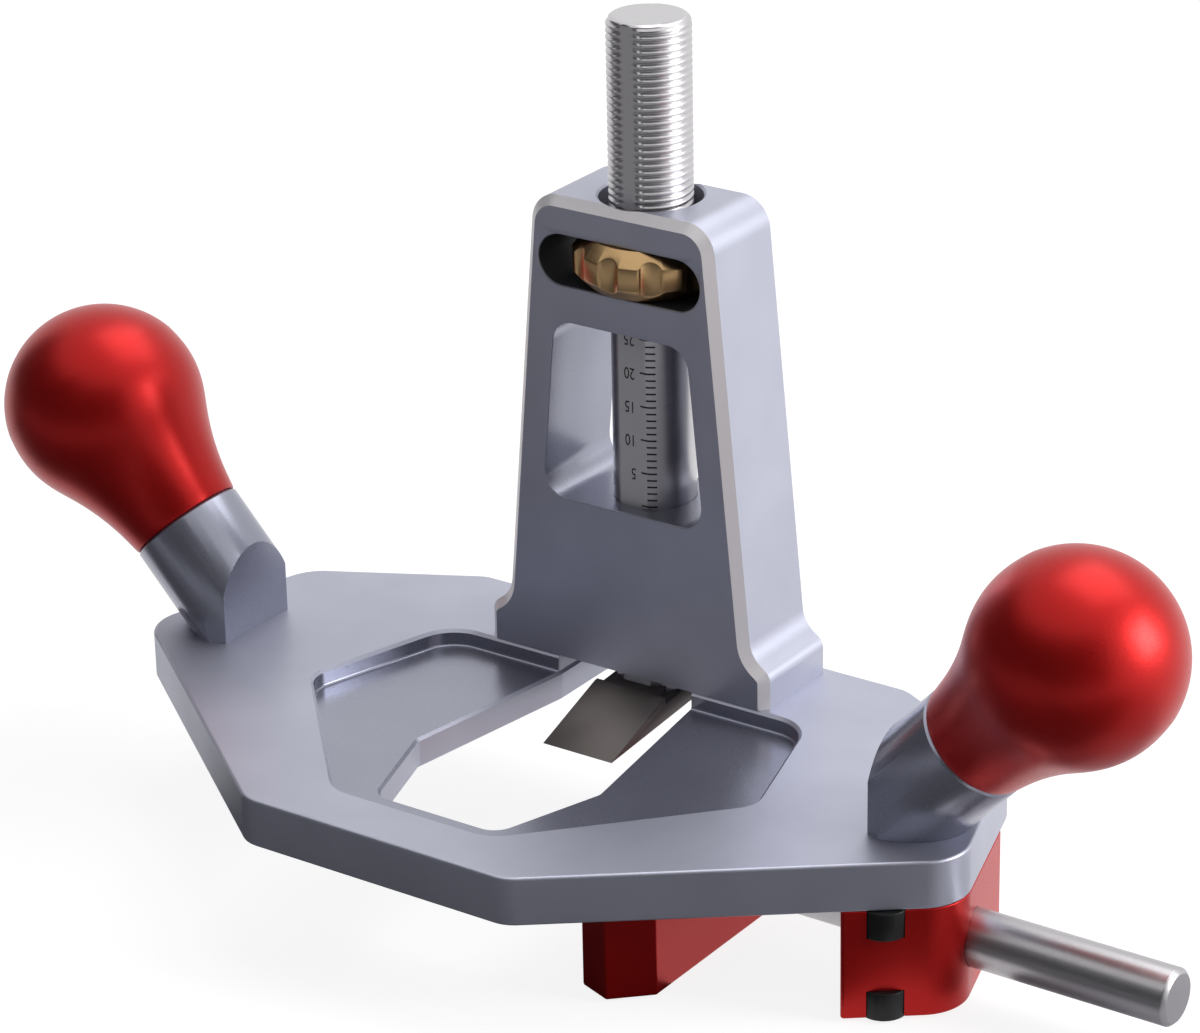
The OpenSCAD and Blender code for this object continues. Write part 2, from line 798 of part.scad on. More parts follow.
// Guide bar that runs along the edge of the work
module fence_bar() {
    color("firebrick")
    difference() {
        translate([0, 0, -fence_h]) slab(bar_outline, fence_h - face_gap, 0.5, 0.3);
        translate([rod_start - run_gap, -rod_ahead, rod_z]) rotate([0, 90, 0])
            cylinder(d = rod_d + 2 * run_gap, h = far);
        translate([rod_start + rod_seat / 2, -rod_ahead, -fence_h - over])
            cylinder(d = set_d + 2 * run_gap, h = fence_h / 2);
    }
}

module bar_screw() {
    color("dimgray")
    translate([rod_start + rod_seat / 2, -rod_ahead, -fence_h + head_sink])
        grub_screw(set_d, (fence_h - rod_d) / 2 - head_sink - run_gap);
}

base_plate();
tower();
tower_screws();
guide_screw();
depth_post();
depth_nut();
blade();
blade_screw();
post_lock_pad();
post_lock_screw();
left_collar();
left_collar_screws();
left_stud();
left_knob();
collar();  // right_collar
collar_screws();  // right_collar_screws
stud();  // right_stud
knob();  // right_knob
fence_block();
block_screws();
block_bushes();
rod_lock_screw();
fence_rod();
fence_bar();
bar_screw();
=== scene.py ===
# %% [markdown]
# # A small metal router plane
#
# This notebook dresses a hand router plane for the camera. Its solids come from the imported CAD
# model, which also says how the pieces move. Blender adds what a machinist would see up close:
# the broken edges, the real thread on the post, the engraved scale and the surface of each metal.

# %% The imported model
import json
import math

import bmesh
import bpy
from mathutils import Matrix, Vector
from mathutils.geometry import tessellate_polygon


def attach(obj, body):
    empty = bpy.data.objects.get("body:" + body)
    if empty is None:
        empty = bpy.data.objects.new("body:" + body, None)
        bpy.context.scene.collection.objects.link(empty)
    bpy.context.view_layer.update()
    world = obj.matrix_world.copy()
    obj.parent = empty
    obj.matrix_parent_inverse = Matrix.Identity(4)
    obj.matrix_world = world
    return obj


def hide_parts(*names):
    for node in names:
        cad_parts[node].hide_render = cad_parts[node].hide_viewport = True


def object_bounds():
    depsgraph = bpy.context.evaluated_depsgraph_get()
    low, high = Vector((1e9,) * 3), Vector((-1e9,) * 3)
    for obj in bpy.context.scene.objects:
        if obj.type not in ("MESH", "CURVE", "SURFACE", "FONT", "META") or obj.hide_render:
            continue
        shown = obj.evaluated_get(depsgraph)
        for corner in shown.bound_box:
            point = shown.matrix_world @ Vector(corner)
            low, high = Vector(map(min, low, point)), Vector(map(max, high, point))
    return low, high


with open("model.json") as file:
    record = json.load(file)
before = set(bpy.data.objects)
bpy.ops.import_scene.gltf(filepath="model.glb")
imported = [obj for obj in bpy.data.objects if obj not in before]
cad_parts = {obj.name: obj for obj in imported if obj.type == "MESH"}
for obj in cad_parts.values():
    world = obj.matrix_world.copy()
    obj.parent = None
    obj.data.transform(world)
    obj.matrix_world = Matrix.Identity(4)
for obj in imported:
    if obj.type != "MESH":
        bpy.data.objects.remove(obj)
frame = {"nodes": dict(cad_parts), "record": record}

cad_low, cad_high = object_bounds()
nodes = frame["nodes"]
BODY = {n: b for b, members in frame["record"]["behaviour"]["bodies"].items() for n in members}
MM = 0.001

# %% [markdown]
# ## The camera
#
# The view was solved from the corners of the plate and the tower: the camera stands 35 degrees to
# the right of the front, 24 degrees above the plate, and has the narrow angle of a long lens. It is
# also rolled by one degree. A long lens keeps the two knobs nearly the same size. The frame was
# cut a few pixels off the middle of the picture, so the lens is shifted by as many.

# %% Camera
CAMERA_TURN = 35.01
CAMERA_RISE = 23.64
CAMERA_ROLL = -1.11
CAMERA_PLACE = Vector((327.74, -478.73, 281.18)) * MM
LENS_MM, SENSOR_MM = 134.2, 36
FRAME_WIDTH_PX = 1200
SHIFT_RIGHT_PX, SHIFT_UP_PX = -12.2, 7.2
NEAREST_SEEN = 0.01


def into_scene(name, data):
    """A new object that holds this data, linked into the scene."""
    thing = bpy.data.objects.new(name, data)
    bpy.context.scene.collection.objects.link(thing)
    return thing


def camera_axes(turn, rise, roll):
    """Right, up and back directions of a camera that looks along +Y when turn and rise are 0."""
    a, e, r = map(math.radians, (turn, rise, roll))
    back = Vector((math.sin(a) * math.cos(e), -math.cos(a) * math.cos(e), math.sin(e)))
    right = Vector((0, 0, 1)).cross(back).normalized()
    up = back.cross(right)
    return (right * math.cos(r) + up * math.sin(r), up * math.cos(r) - right * math.sin(r), back)


camera_data = bpy.data.cameras.new("camera")
camera = into_scene("camera", camera_data)
bpy.context.scene.camera = camera
camera_data.sensor_width = SENSOR_MM
camera_data.lens = LENS_MM
camera_data.shift_x = SHIFT_RIGHT_PX / FRAME_WIDTH_PX
camera_data.shift_y = SHIFT_UP_PX / FRAME_WIDTH_PX
camera_data.clip_start = NEAREST_SEEN
facing = Matrix(camera_axes(CAMERA_TURN, CAMERA_RISE, CAMERA_ROLL)).transposed().to_4x4()
camera.matrix_world = Matrix.Translation(CAMERA_PLACE) @ facing
print("camera at", tuple(round(v, 3) for v in CAMERA_PLACE))

# %% [markdown]
# ## Building materials
#
# Every finish below is a small node tree. One function turns a hex colour, as a paint chart gives
# it, into the linear values that Blender computes with. Another adds one node with its settings and
# links, so that each material reads as a list of steps. The last one makes a whole finish: one
# colour, whose gloss changes from patch to patch, as it does on every worked surface.

# %% Helpers for materials


def linear(hex_colour):
    """Linear RGBA of an sRGB colour such as '8a8f99'."""
    out = []
    for i in (0, 2, 4):
        c = int(hex_colour[i:i + 2], 16) / 255
        out.append(c / 12.92 if c <= 0.04045 else ((c + 0.055) / 1.055) ** 2.4)
    return (*out, 1.0)


def add(tree, kind, inputs=None, **settings):
    """Adds a node. An input is a number, a colour, or an output socket of another node."""
    node = tree.nodes.new(kind)
    for name, value in settings.items():
        setattr(node, name, value)
    for name, value in (inputs or {}).items():
        socket = node.inputs[name]
        if isinstance(value, bpy.types.NodeSocket):
            tree.links.new(value, socket)
        else:
            socket.default_value = value
    return node


def new_material(name):
    """An empty material: the material, its node tree and its surface shader."""
    material = bpy.data.materials.new(name)
    material.use_nodes = True
    tree = material.node_tree
    tree.nodes.clear()
    shader = add(tree, "ShaderNodeBsdfPrincipled")
    add(tree, "ShaderNodeOutputMaterial", {"Surface": shader.outputs["BSDF"]})
    return material, tree, shader


def link(tree, output, shader, name):
    """Lets a pattern drive one input of the surface shader."""
    tree.links.new(output, shader.inputs[name])


def per_metre(size_mm):
    """Scale of a pattern whose features are size_mm apart, for coordinates in metres."""
    return 1000 / size_mm


def patchy_finish(name, colour, metallic, patch_mm, smoothest, roughest, detail=2.0):
    """A material of one colour, whose gloss changes over patches of the given size."""
    material, tree, shader = new_material(name)
    place = add(tree, "ShaderNodeTexCoord")
    patches = add(tree, "ShaderNodeTexNoise",
                  {"Vector": place.outputs["Object"], "Scale": per_metre(patch_mm),
                   "Detail": detail})
    shader.inputs["Base Color"].default_value = linear(colour)
    shader.inputs["Metallic"].default_value = metallic
    gloss = add(tree, "ShaderNodeMapRange",
                {"Value": patches.outputs["Fac"], "To Min": smoothest, "To Max": roughest})
    link(tree, gloss.outputs["Result"], shader, "Roughness")
    print("material:", name)
    return material


# %% [markdown]
# ## Bead-blasted, anodised aluminium
#
# The plate, the tower and the collars are milled aluminium, blasted with fine beads and anodised a
# blue grey. Blasting leaves pits of about 0.1 mm. They are too small to see one by one, but they
# spread the highlights and leave a faint sparkle. They are drawn 0.35 mm apart so that they show.
# The dyed oxide is thin, so the metal below still mirrors its surroundings softly: the plate shows
# a blurred tower, and a face turned to a dark corner of the room looks dark. Blasting also leaves
# the tone slightly uneven from place to place. The pocket, the window and the collars were milled
# after the blasting, so they are smoother: the pocket's floor mirrors the tower more clearly than
# the rim round it does. Their grey is also darker, and that is painted shade, for the shade in the
# pocket and the window and on the collars.

# %% Grey anodised aluminium
PIT_MM, PIT_DEPTH_MM = 0.35, 0.05
DYE_PATCH_MM = 14


def anodised_grey(name, dark, light, smoothest, roughest, pitting):
    """Anodised aluminium between two tones, with pits as deep as its finish leaves."""
    material, tree, shader = new_material(name)
    place = add(tree, "ShaderNodeTexCoord")
    pits = add(tree, "ShaderNodeTexNoise",
               {"Vector": place.outputs["Object"], "Scale": per_metre(PIT_MM),
                "Detail": 3.0, "Roughness": 0.6})
    dye = add(tree, "ShaderNodeTexNoise",
              {"Vector": place.outputs["Object"], "Scale": per_metre(DYE_PATCH_MM), "Detail": 2.0})
    tone = add(tree, "ShaderNodeValToRGB", {"Fac": dye.outputs["Fac"]})
    for stop, position, colour in zip(tone.color_ramp.elements, (0.3, 0.7), (dark, light)):
        stop.position = position
        stop.color = linear(colour)
    link(tree, tone.outputs["Color"], shader, "Base Color")
    shader.inputs["Metallic"].default_value = 0.8
    gloss = add(tree, "ShaderNodeMapRange",
                {"Value": pits.outputs["Fac"], "To Min": smoothest, "To Max": roughest})
    link(tree, gloss.outputs["Result"], shader, "Roughness")
    relief = add(tree, "ShaderNodeBump", {"Height": pits.outputs["Fac"], "Strength": pitting,
                                          "Distance": PIT_DEPTH_MM * MM})
    link(tree, relief.outputs["Normal"], shader, "Normal")
    print("material:", name)
    return material


blasted_grey = anodised_grey("bead_blasted_grey_anodised_aluminium", dark="adafbd", light="b5b7c5",
                             smoothest=0.36, roughest=0.5, pitting=0.2)
# The milled grey is darker than the blasted grey: painted shade for the pocket, window and collars.
milled_grey_painted_shade = anodised_grey("milled_grey_anodised_aluminium_with_painted_shade", dark="9698a6", light="9c9eac",
                            smoothest=0.26, roughest=0.3, pitting=0.03)

# %% [markdown]
# ## Satin red anodised aluminium
#
# The knobs and the fence are dyed red. Red dye in clear oxide behaves like tinted lacquer over
# metal: the metal below takes the colour, and the highlight stays pale with a fine grain in it.

# %% Red anodised aluminium
satin_red, tree, shader = new_material("satin_red_anodised_aluminium")
place = add(tree, "ShaderNodeTexCoord")
grain = add(tree, "ShaderNodeTexNoise",
            {"Vector": place.outputs["Object"], "Scale": per_metre(0.4),
             "Detail": 2.0, "Roughness": 0.6})
shader.inputs["Base Color"].default_value = linear("b40b09")
shader.inputs["Metallic"].default_value = 0.72
shader.inputs["Coat Weight"].default_value = 0.12
shader.inputs["Coat Roughness"].default_value = 0.28
gloss = add(tree, "ShaderNodeMapRange",
            {"Value": grain.outputs["Fac"], "To Min": 0.3, "To Max": 0.46})
link(tree, gloss.outputs["Result"], shader, "Roughness")
relief = add(tree, "ShaderNodeBump", {"Height": grain.outputs["Fac"], "Strength": 0.25,
                                      "Distance": PIT_DEPTH_MM * MM})
link(tree, relief.outputs["Normal"], shader, "Normal")
print("material:", satin_red.name)

# %% [markdown]
# ## Machined edge
#
# After anodising, the bevel round the tower was cut again, so bare aluminium shows there: warmer
# than the dyed faces, with a gloss that changes over the half millimetre of a cutter's marks. Fine
# marks scatter much of the light, so the finish is only partly metallic.

# %% Bare machined aluminium
bare_edge = patchy_finish("bare_machined_aluminium", "e6e2e4", metallic=0.3, patch_mm=0.5,
                          smoothest=0.32, roughest=0.48)

# %% [markdown]
# ## Slot walls with painted shade
#
# The walls of the narrow slot that holds the nut are painted almost black. This is painted shade,
# for the deep shade inside the slot.

# %% Slot walls with painted shade
# Almost black: painted shade for the inside of the slot.
slot_wall_painted_shade = patchy_finish("slot_wall_painted_shade_aluminium", "2b2c31", metallic=0, patch_mm=0.6,
                          smoothest=0.4, roughest=0.6)

# %% [markdown]
# ## Turned steel
#
# The post and the rod are turned steel bars. A turning tool leaves fine rings round the bar, which
# draw a highlight out along it. Rings 0.12 mm apart would vanish in the render, so they are 0.3 mm.
# The pattern is stretched fifty times round the bar and not along it, which makes rings of it. The
# post's milled flat is made the same way, but rougher and less metallic, as its marks are deeper.

# %% Turned steel
ALONG_POST, ALONG_ROD = 2, 0
RING_MM, RING_DEPTH_MM, RING_STRETCH = 0.3, 0.03, 0.02


def turned_steel(name, axis, colour, rough, metallic=1.0):
    """Steel with fine turning rings across the given axis, 0 for X and 2 for Z."""
    material, tree, shader = new_material(name)
    place = add(tree, "ShaderNodeTexCoord")
    stretch = [RING_STRETCH] * 3
    stretch[axis] = 1.0
    rings = add(tree, "ShaderNodeMapping", {"Vector": place.outputs["Object"], "Scale": stretch})
    marks = add(tree, "ShaderNodeTexNoise",
                {"Vector": rings.outputs["Vector"], "Scale": per_metre(RING_MM),
                 "Detail": 4.0, "Roughness": 0.7})
    shader.inputs["Base Color"].default_value = linear(colour)
    shader.inputs["Metallic"].default_value = metallic
    gloss = add(tree, "ShaderNodeMapRange", {"Value": marks.outputs["Fac"],
                                             "To Min": rough - 0.08, "To Max": rough + 0.1})
    link(tree, gloss.outputs["Result"], shader, "Roughness")
    relief = add(tree, "ShaderNodeBump", {"Height": marks.outputs["Fac"], "Strength": 0.35,
                                          "Distance": RING_DEPTH_MM * MM})
    link(tree, relief.outputs["Normal"], shader, "Normal")
    print("material:", name)
    return material


post_steel = turned_steel("turned_steel_post", ALONG_POST, "c4c2c4", rough=0.3)
rod_steel = turned_steel("turned_steel_rod", ALONG_ROD, "b2b0b3", rough=0.34)
flat_steel = turned_steel("milled_steel_flat", ALONG_POST, "d2d0d1", rough=0.6, metallic=0.5)

# %% [markdown]
# ## Ground tool steel
#
# The cutter is ground on a wheel, which leaves fine straight scratches across the blade. Its grey
# is darkened with painted shade, for the shadow of the tower over the cutter.

# %% Ground steel
ground_steel_painted_shade, tree, shader = new_material("ground_tool_steel_with_painted_shade")
place = add(tree, "ShaderNodeTexCoord")
along = add(tree, "ShaderNodeMapping",
            {"Vector": place.outputs["Object"], "Scale": (0.04, 1.0, 1.0)})
scratches = add(tree, "ShaderNodeTexNoise",
                {"Vector": along.outputs["Vector"], "Scale": per_metre(0.25),
                 "Detail": 3.0, "Roughness": 0.7})
# Dark grey: the steel's own grey, darkened by painted shade.
shader.inputs["Base Color"].default_value = linear("78726f")
shader.inputs["Metallic"].default_value = 0.5
gloss = add(tree, "ShaderNodeMapRange",
            {"Value": scratches.outputs["Fac"], "To Min": 0.42, "To Max": 0.58})
link(tree, gloss.outputs["Result"], shader, "Roughness")
relief = add(tree, "ShaderNodeBump", {"Height": scratches.outputs["Fac"], "Strength": 0.2,
                                      "Distance": RING_DEPTH_MM * MM})
link(tree, relief.outputs["Normal"], shader, "Normal")
print("material:", ground_steel_painted_shade.name)

# %% [markdown]
# ## Black oxide and brass
#
# Screws are dipped in hot salts that turn the steel's skin black, with an oily sheen. The nut and
# the lock pad are turned brass, polished enough to mirror the slot around them.

# %% Black oxide steel
black_oxide = patchy_finish("black_oxide_steel", "1d1e1f", metallic=0.5, patch_mm=0.8,
                            smoothest=0.35, roughest=0.55)

# %% Polished brass
polished_brass, tree, shader = new_material("polished_brass")
place = add(tree, "ShaderNodeTexCoord")
rings = add(tree, "ShaderNodeMapping",
            {"Vector": place.outputs["Object"], "Scale": (0.05, 0.05, 1.0)})
marks = add(tree, "ShaderNodeTexNoise",
            {"Vector": rings.outputs["Vector"], "Scale": per_metre(0.4), "Detail": 3.0})
shader.inputs["Base Color"].default_value = linear("c4a274")
shader.inputs["Metallic"].default_value = 1.0
gloss = add(tree, "ShaderNodeMapRange",
            {"Value": marks.outputs["Fac"], "To Min": 0.24, "To Max": 0.36})
link(tree, gloss.outputs["Result"], shader, "Roughness")
print("material:", polished_brass.name)

# %% [markdown]
# ## Laser-blackened marks
#
# The scale is burnt into the post by a laser, which leaves a dull black oxide line.

# %% Laser marks
laser_black = patchy_finish("laser_blackened_steel", "1c1a19", metallic=0, patch_mm=0.2,
                            smoothest=0.6, roughest=0.8, detail=1.0)

# %% [markdown]
# ## Outlines
#
# The plate, the tower and the fence are flat shapes with some depth, so each starts as an outline.
# The two functions below are a draughtsman's: one rounds the corners of a polygon, the other moves
# the whole line inwards by the same distance. All the sizes are those of the CAD model, in
# millimetres.

# %% Outline helpers
CORNER_TURN = math.radians(6)


def rounded(corners):
    """Points of an anticlockwise outline through (x, y, radius) corners."""
    points = []
    for i, (x, y, r) in enumerate(corners):
        here = Vector((x, y))
        if r <= 0:
            points.append(here)
            continue
        to_last = (Vector(corners[i - 1][:2]) - here).normalized()
        to_next = (Vector(corners[(i + 1) % len(corners)][:2]) - here).normalized()
        half = to_last.angle(to_next) / 2
        centre = here + (to_last + to_next).normalized() * r / math.sin(half)
        first = here + to_last * r / math.tan(half) - centre
        last = here + to_next * r / math.tan(half) - centre
        turn = math.atan2(first.x * last.y - first.y * last.x, first.dot(last))
        steps = max(2, math.ceil(abs(turn) / CORNER_TURN))
        start = math.atan2(first.y, first.x)
        for k in range(steps + 1):
            a = start + turn * k / steps
            points.append(centre + Vector((math.cos(a), math.sin(a))) * r)
    return points


def both_sides(corners):
    """Corners of the right half, then their mirror images."""
    return corners + [(-x, y, r) for x, y, r in reversed(corners)]


def inset(points, d):
    """The outline moved inwards by d."""
    out = []
    for i, here in enumerate(points):
        before = (here - points[i - 1]).normalized()
        after = (points[(i + 1) % len(points)] - here).normalized()
        n, m = Vector((-before.y, before.x)), Vector((-after.y, after.x))
        out.append(here + (n + m) * d / (1 + n.dot(m)))
    return out


# %% [markdown]
# ## Shells
#
# A milled piece is then a stack of rings: the outline at one depth, the outline a little smaller at
# the next, and so on. Bands of faces join the rings, and flat caps close the ends. Rings that step
# round a quarter circle make the small round of a broken edge. This gives cleaner light on wide
# faces than a bevel modifier, which leaves streaks where it meets a face with many corners.

# %% Shell helpers
ON_AXIS = 0.000001


def flat_up(u, v, h):
    """Place of a point of an outline that lies flat, at a height."""
    return Vector((u, v, h)) * MM


def upright(u, v, h):
    """Place of a point of an outline that stands up and faces the front, at a depth."""
    return Vector((u, h, v)) * MM


def sideways(u, v, h):
    """Place of a point of an outline that stands up and faces the right, at a place along X."""
    return Vector((h, u, v)) * MM


def ring(bm, outline, h, way=flat_up):
    """A closed row of points along an outline, at one depth."""
    return [bm.verts.new(way(p.x, p.y, h)) for p in outline]


def band(bm, low, high, material=0):
    """Faces between two rings of the same length."""
    n = len(low)
    for i in range(n):
        face = bm.faces.new((low[i], low[(i + 1) % n], high[(i + 1) % n], high[i]))
        face.material_index = material


def bands(bm, rings, material=0):
    """Bands from each ring to the next."""
    for low, high in zip(rings, rings[1:]):
        band(bm, low, high, material)


def cap(bm, loops, material=0):
    """A flat face within the first loop and outside the others."""
    verts = [v for loop in loops for v in loop]
    for corners in tessellate_polygon([[v.co / MM for v in loop] for loop in loops]):
        face = bm.faces.new([verts[i] for i in corners])
        face.material_index = material


def edge_round(outline, h, edge, inwards, steps=4):
    """(outline, height) pairs round an edge, from the cap at h to the full outline."""
    pairs = []
    for k in range(steps + 1):
        a = math.pi / 2 * k / steps
        pairs.append((inset(outline, edge * (1 - math.sin(a))),
                      h + inwards * edge * (1 - math.cos(a))))
    return pairs


def soft_slab(bm, outline, low, high, low_edge, high_edge, way=flat_up):
    """A closed slab with rounded lower and upper edges."""
    pairs = edge_round(outline, low, low_edge, 1) + edge_round(outline, high, high_edge, -1)[::-1]
    rings = [ring(bm, points, h, way) for points, h in pairs]
    bands(bm, rings)
    cap(bm, [rings[0]])
    cap(bm, [rings[-1]])


def prism(bm, outline, ends, way):
    """A closed solid with the same outline at both of its ends."""
    rings = [ring(bm, outline, h, way) for h in ends]
    bands(bm, rings)
    cap(bm, [rings[0]])
    cap(bm, [rings[1]])


def turned(bm, profile, place=Matrix(), steps=48):
    """Adds a turned solid: a (radius, height) profile spun round Z, with radius 0 at both ends."""
    rings = []
    for r, h in profile:
        angles = [0.0] if r < ON_AXIS else [2 * math.pi * k / steps for k in range(steps)]
        spots = [Vector((r * math.cos(a), r * math.sin(a), h)) * MM for a in angles]
        rings.append([bm.verts.new(place @ spot) for spot in spots])
    for low, high in zip(rings, rings[1:]):
        for k in range(steps):
            corners = []
            for loop, i in ((low, k), (low, k + 1), (high, k + 1), (high, k)):
                if loop[i % len(loop)] not in corners:
                    corners.append(loop[i % len(loop)])
            if len(corners) > 2:
                bm.faces.new(corners)


# %% [markdown]
# ## Drilled holes
#
# Holes are cut as in the shop: a drill shaped like the hole is taken away from the piece. Blender's
# exact Boolean does that. Its result becomes the piece's mesh at once, so the holes are part of the
# mesh itself and not a modifier. Weighted normals keep the wide flat faces flat next to the small
# rounds, and edges of more than 30 degrees stay crisp.

# %% Helpers for holes and finished pieces


def at(x, y, z=0):
    """Moves what is turned about Z to a place in millimetres."""
    return Matrix.Translation(Vector((x, y, z)) * MM)


def straight(r, low, high):
    """Profile of a plain hole, and of the drill that cuts it."""
    return [(0, low), (r, low), (r, high), (0, high)]


def mesh_of(name, bm):
    """The finished mesh of a bmesh, with all its faces turned outwards."""
    bmesh.ops.recalc_face_normals(bm, faces=bm.faces)
    mesh = bpy.data.meshes.new(name)
    bm.to_mesh(mesh)
    bm.free()
    return mesh


def cut(piece, drills):
    """Takes the drills, a bmesh of closed solids, away from the piece."""
    tool = into_scene("drills", mesh_of("drills", drills))
    step = piece.modifiers.new("cut", "BOOLEAN")
    step.operation = "DIFFERENCE"
    step.solver = "EXACT"
    step.use_self = True
    step.object = tool
    drilled = piece.evaluated_get(bpy.context.evaluated_depsgraph_get())
    result = bpy.data.meshes.new_from_object(drilled)
    piece.modifiers.clear()
    piece.data = result
    bpy.data.objects.remove(tool)


def new_piece(name, bm, materials, body):
    """An object with these materials that rides on a body."""
    piece = into_scene(name, mesh_of(name, bm))
    for material in materials:
        piece.data.materials.append(material)
    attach(piece, body)
    return piece


def finish(piece, node, crisp=30):
    """Smooth shading with crisp edges, and the node that the piece stands for."""
    piece.data.shade_smooth()
    piece.data.set_sharp_from_angle(angle=math.radians(crisp))
    even = piece.modifiers.new("even_light", "WEIGHTED_NORMAL")
    even.keep_sharp = True
    even.weight = 50
    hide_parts(node)
    print(f"{piece.name}: {len(piece.data.vertices)} points")


# %% [markdown]
# ## Sole plate
#
# The plate is a milled slab 7 mm thick with eight sides. A pocket 2.5 mm deep lightens its top, and
# the throat lets the cutter through. The rings go up the outside, over the broken edge, and down
# into the pocket, whose floor meets its wall in a small hollow left by the mill's rounded corner.
# The pocket's wall and floor get the smoother milled grey, which is the second material. Its darker
# tone is painted shade in the pocket.

# %% Sole plate
PLATE_T = 7.0
POCKET_FLOOR = 4.5
PLATE_EDGE, SOLE_EDGE, POCKET_EDGE, POCKET_HOLLOW = 0.45, 0.3, 0.45, 0.4
HOLLOW_TURNS = 4
THROAT_EDGE = 0.4

plate_outline = rounded(both_sides(
    [(21.5, -67.8, 5), (69, -31.2, 7), (60.5, -4, 7), (36.5, 8.5, 5)]))
pocket_outline = rounded(both_sides(
    [(13, -59, 6), (37.5, -32.5, 4), (30.5, -8.6, 6)]))
throat_outline = rounded(both_sides(
    [(10, -53.6, 3), (15.3, -37.2, 2), (11, -8.4, 2), (11, 6.9, 4)]))

bm = bmesh.new()
outer = [ring(bm, p, h) for p, h in edge_round(plate_outline, 0, SOLE_EDGE, 1)
         + edge_round(plate_outline, PLATE_T, PLATE_EDGE, -1)[::-1]]
bands(bm, outer)
cap(bm, [outer[0]])
pocket = [ring(bm, inset(pocket_outline, -POCKET_EDGE), PLATE_T),
          ring(bm, pocket_outline, PLATE_T - POCKET_EDGE)]
for k in range(HOLLOW_TURNS + 1):
    a = math.pi / 2 * k / HOLLOW_TURNS
    pocket.append(ring(bm, inset(pocket_outline, POCKET_HOLLOW * (1 - math.cos(a))),
                       POCKET_FLOOR + POCKET_HOLLOW * (1 - math.sin(a))))
bands(bm, pocket[:2])
bands(bm, pocket[1:], 1)
cap(bm, [outer[-1], pocket[0]])
cap(bm, [pocket[-1]], 1)
plate = new_piece("milled_sole_plate", bm, [blasted_grey, milled_grey_painted_shade], "plane_body")

# %% [markdown]
# The throat and the screw holes are cut next. Each countersink is a cone that swallows a screw's
# head. Four screws hold the tower. Under each handle is a row of four more holes: the middle two
# hold a collar, and the outer two hold the fence block on the right. On the left the outer two are
# spare, because the block can be moved there.

# %% Throat and screw holes
SCREW_R, HEAD_R, HOLE_BREAK = 2.05, 3.75, 0.15
TOWER_SCREWS = [(sx * 17.35, -0.2 + sy * 4.43) for sx in (-1, 1) for sy in (-1, 1)]
COLLAR_SCREWS = [(sx * 58.2, -24 + sy * 4.1) for sx in (-1, 1) for sy in (-1, 1)]
BLOCK_SCREWS = [(59.62, -35.56), (59.62, -13.8)]
THROUGH = [(0, -1), (HEAD_R + HOLE_BREAK, -1), (HEAD_R + HOLE_BREAK, -0.15), (HEAD_R, 0.05),
           (SCREW_R, 1.75), (SCREW_R, PLATE_T + 1), (0, PLATE_T + 1)]
BLIND = [(0, -1), (SCREW_R + HOLE_BREAK, -1), (SCREW_R + HOLE_BREAK, 0), (SCREW_R, HOLE_BREAK),
         (SCREW_R, 5.5), (0, 6.3)]

bm = bmesh.new()
steps = [(-0.5, -THROAT_EDGE - 0.5), (THROAT_EDGE, 0), (POCKET_FLOOR - THROAT_EDGE, 0),
         (POCKET_FLOOR, -THROAT_EDGE), (PLATE_T + 1, -THROAT_EDGE)]
throat = [ring(bm, inset(throat_outline, d), h) for h, d in steps]
bands(bm, throat)
cap(bm, [throat[0]])
cap(bm, [throat[-1]])
for x, y in TOWER_SCREWS + COLLAR_SCREWS:
    turned(bm, THROUGH, at(x, y))
for x, y in BLOCK_SCREWS + [(-x, y) for x, y in BLOCK_SCREWS]:
    turned(bm, BLIND, at(x, y))
cut(plate, bm)
finish(plate, "base_plate")

# %% [markdown]
# ## Tower
#
# The tower is cut from thick plate, seen here as an outline that faces the front. Its wide bevel is
# flat and bare, so those faces get the second material. The slot for the nut and the window run
# right through, and their edges are lightly broken. The slot's walls get the third material, an
# almost black that is painted shade, and the window's walls get the fourth, the smoother milled
# grey, whose darker tone is painted shade too.

# %% Tower
TOWER_FRONT, TOWER_BACK = -8.4, 8.0
TOWER_BEVEL = 1.3
HOLE_EDGE = 0.3
# The third and fourth materials carry painted shade for the slot and the window.
SKIN, BARE, SLOT_SHADE, MILLED_SHADE = 0, 1, 2, 3


def on_plate(points):
    """Points of an outline raised from the plate's top, and none below it."""
    return [Vector((p.x, PLATE_T + max(p.y, 0))) for p in points]


tower_shape = rounded(both_sides(
    [(23.7, -2.6, 0), (23.7, 5, 2), (20.5, 7.4, 4.5), (14.7, 69.6, 4.5)]))
slot_shape = rounded([(-13.3, 63.9, 3.7), (13.3, 63.9, 3.7), (13.3, 71.3, 3.7), (-13.3, 71.3, 3.7)])
window_shape = rounded(both_sides([(13.5, 31.9, 3.5), (11, 58.5, 3.5)]))

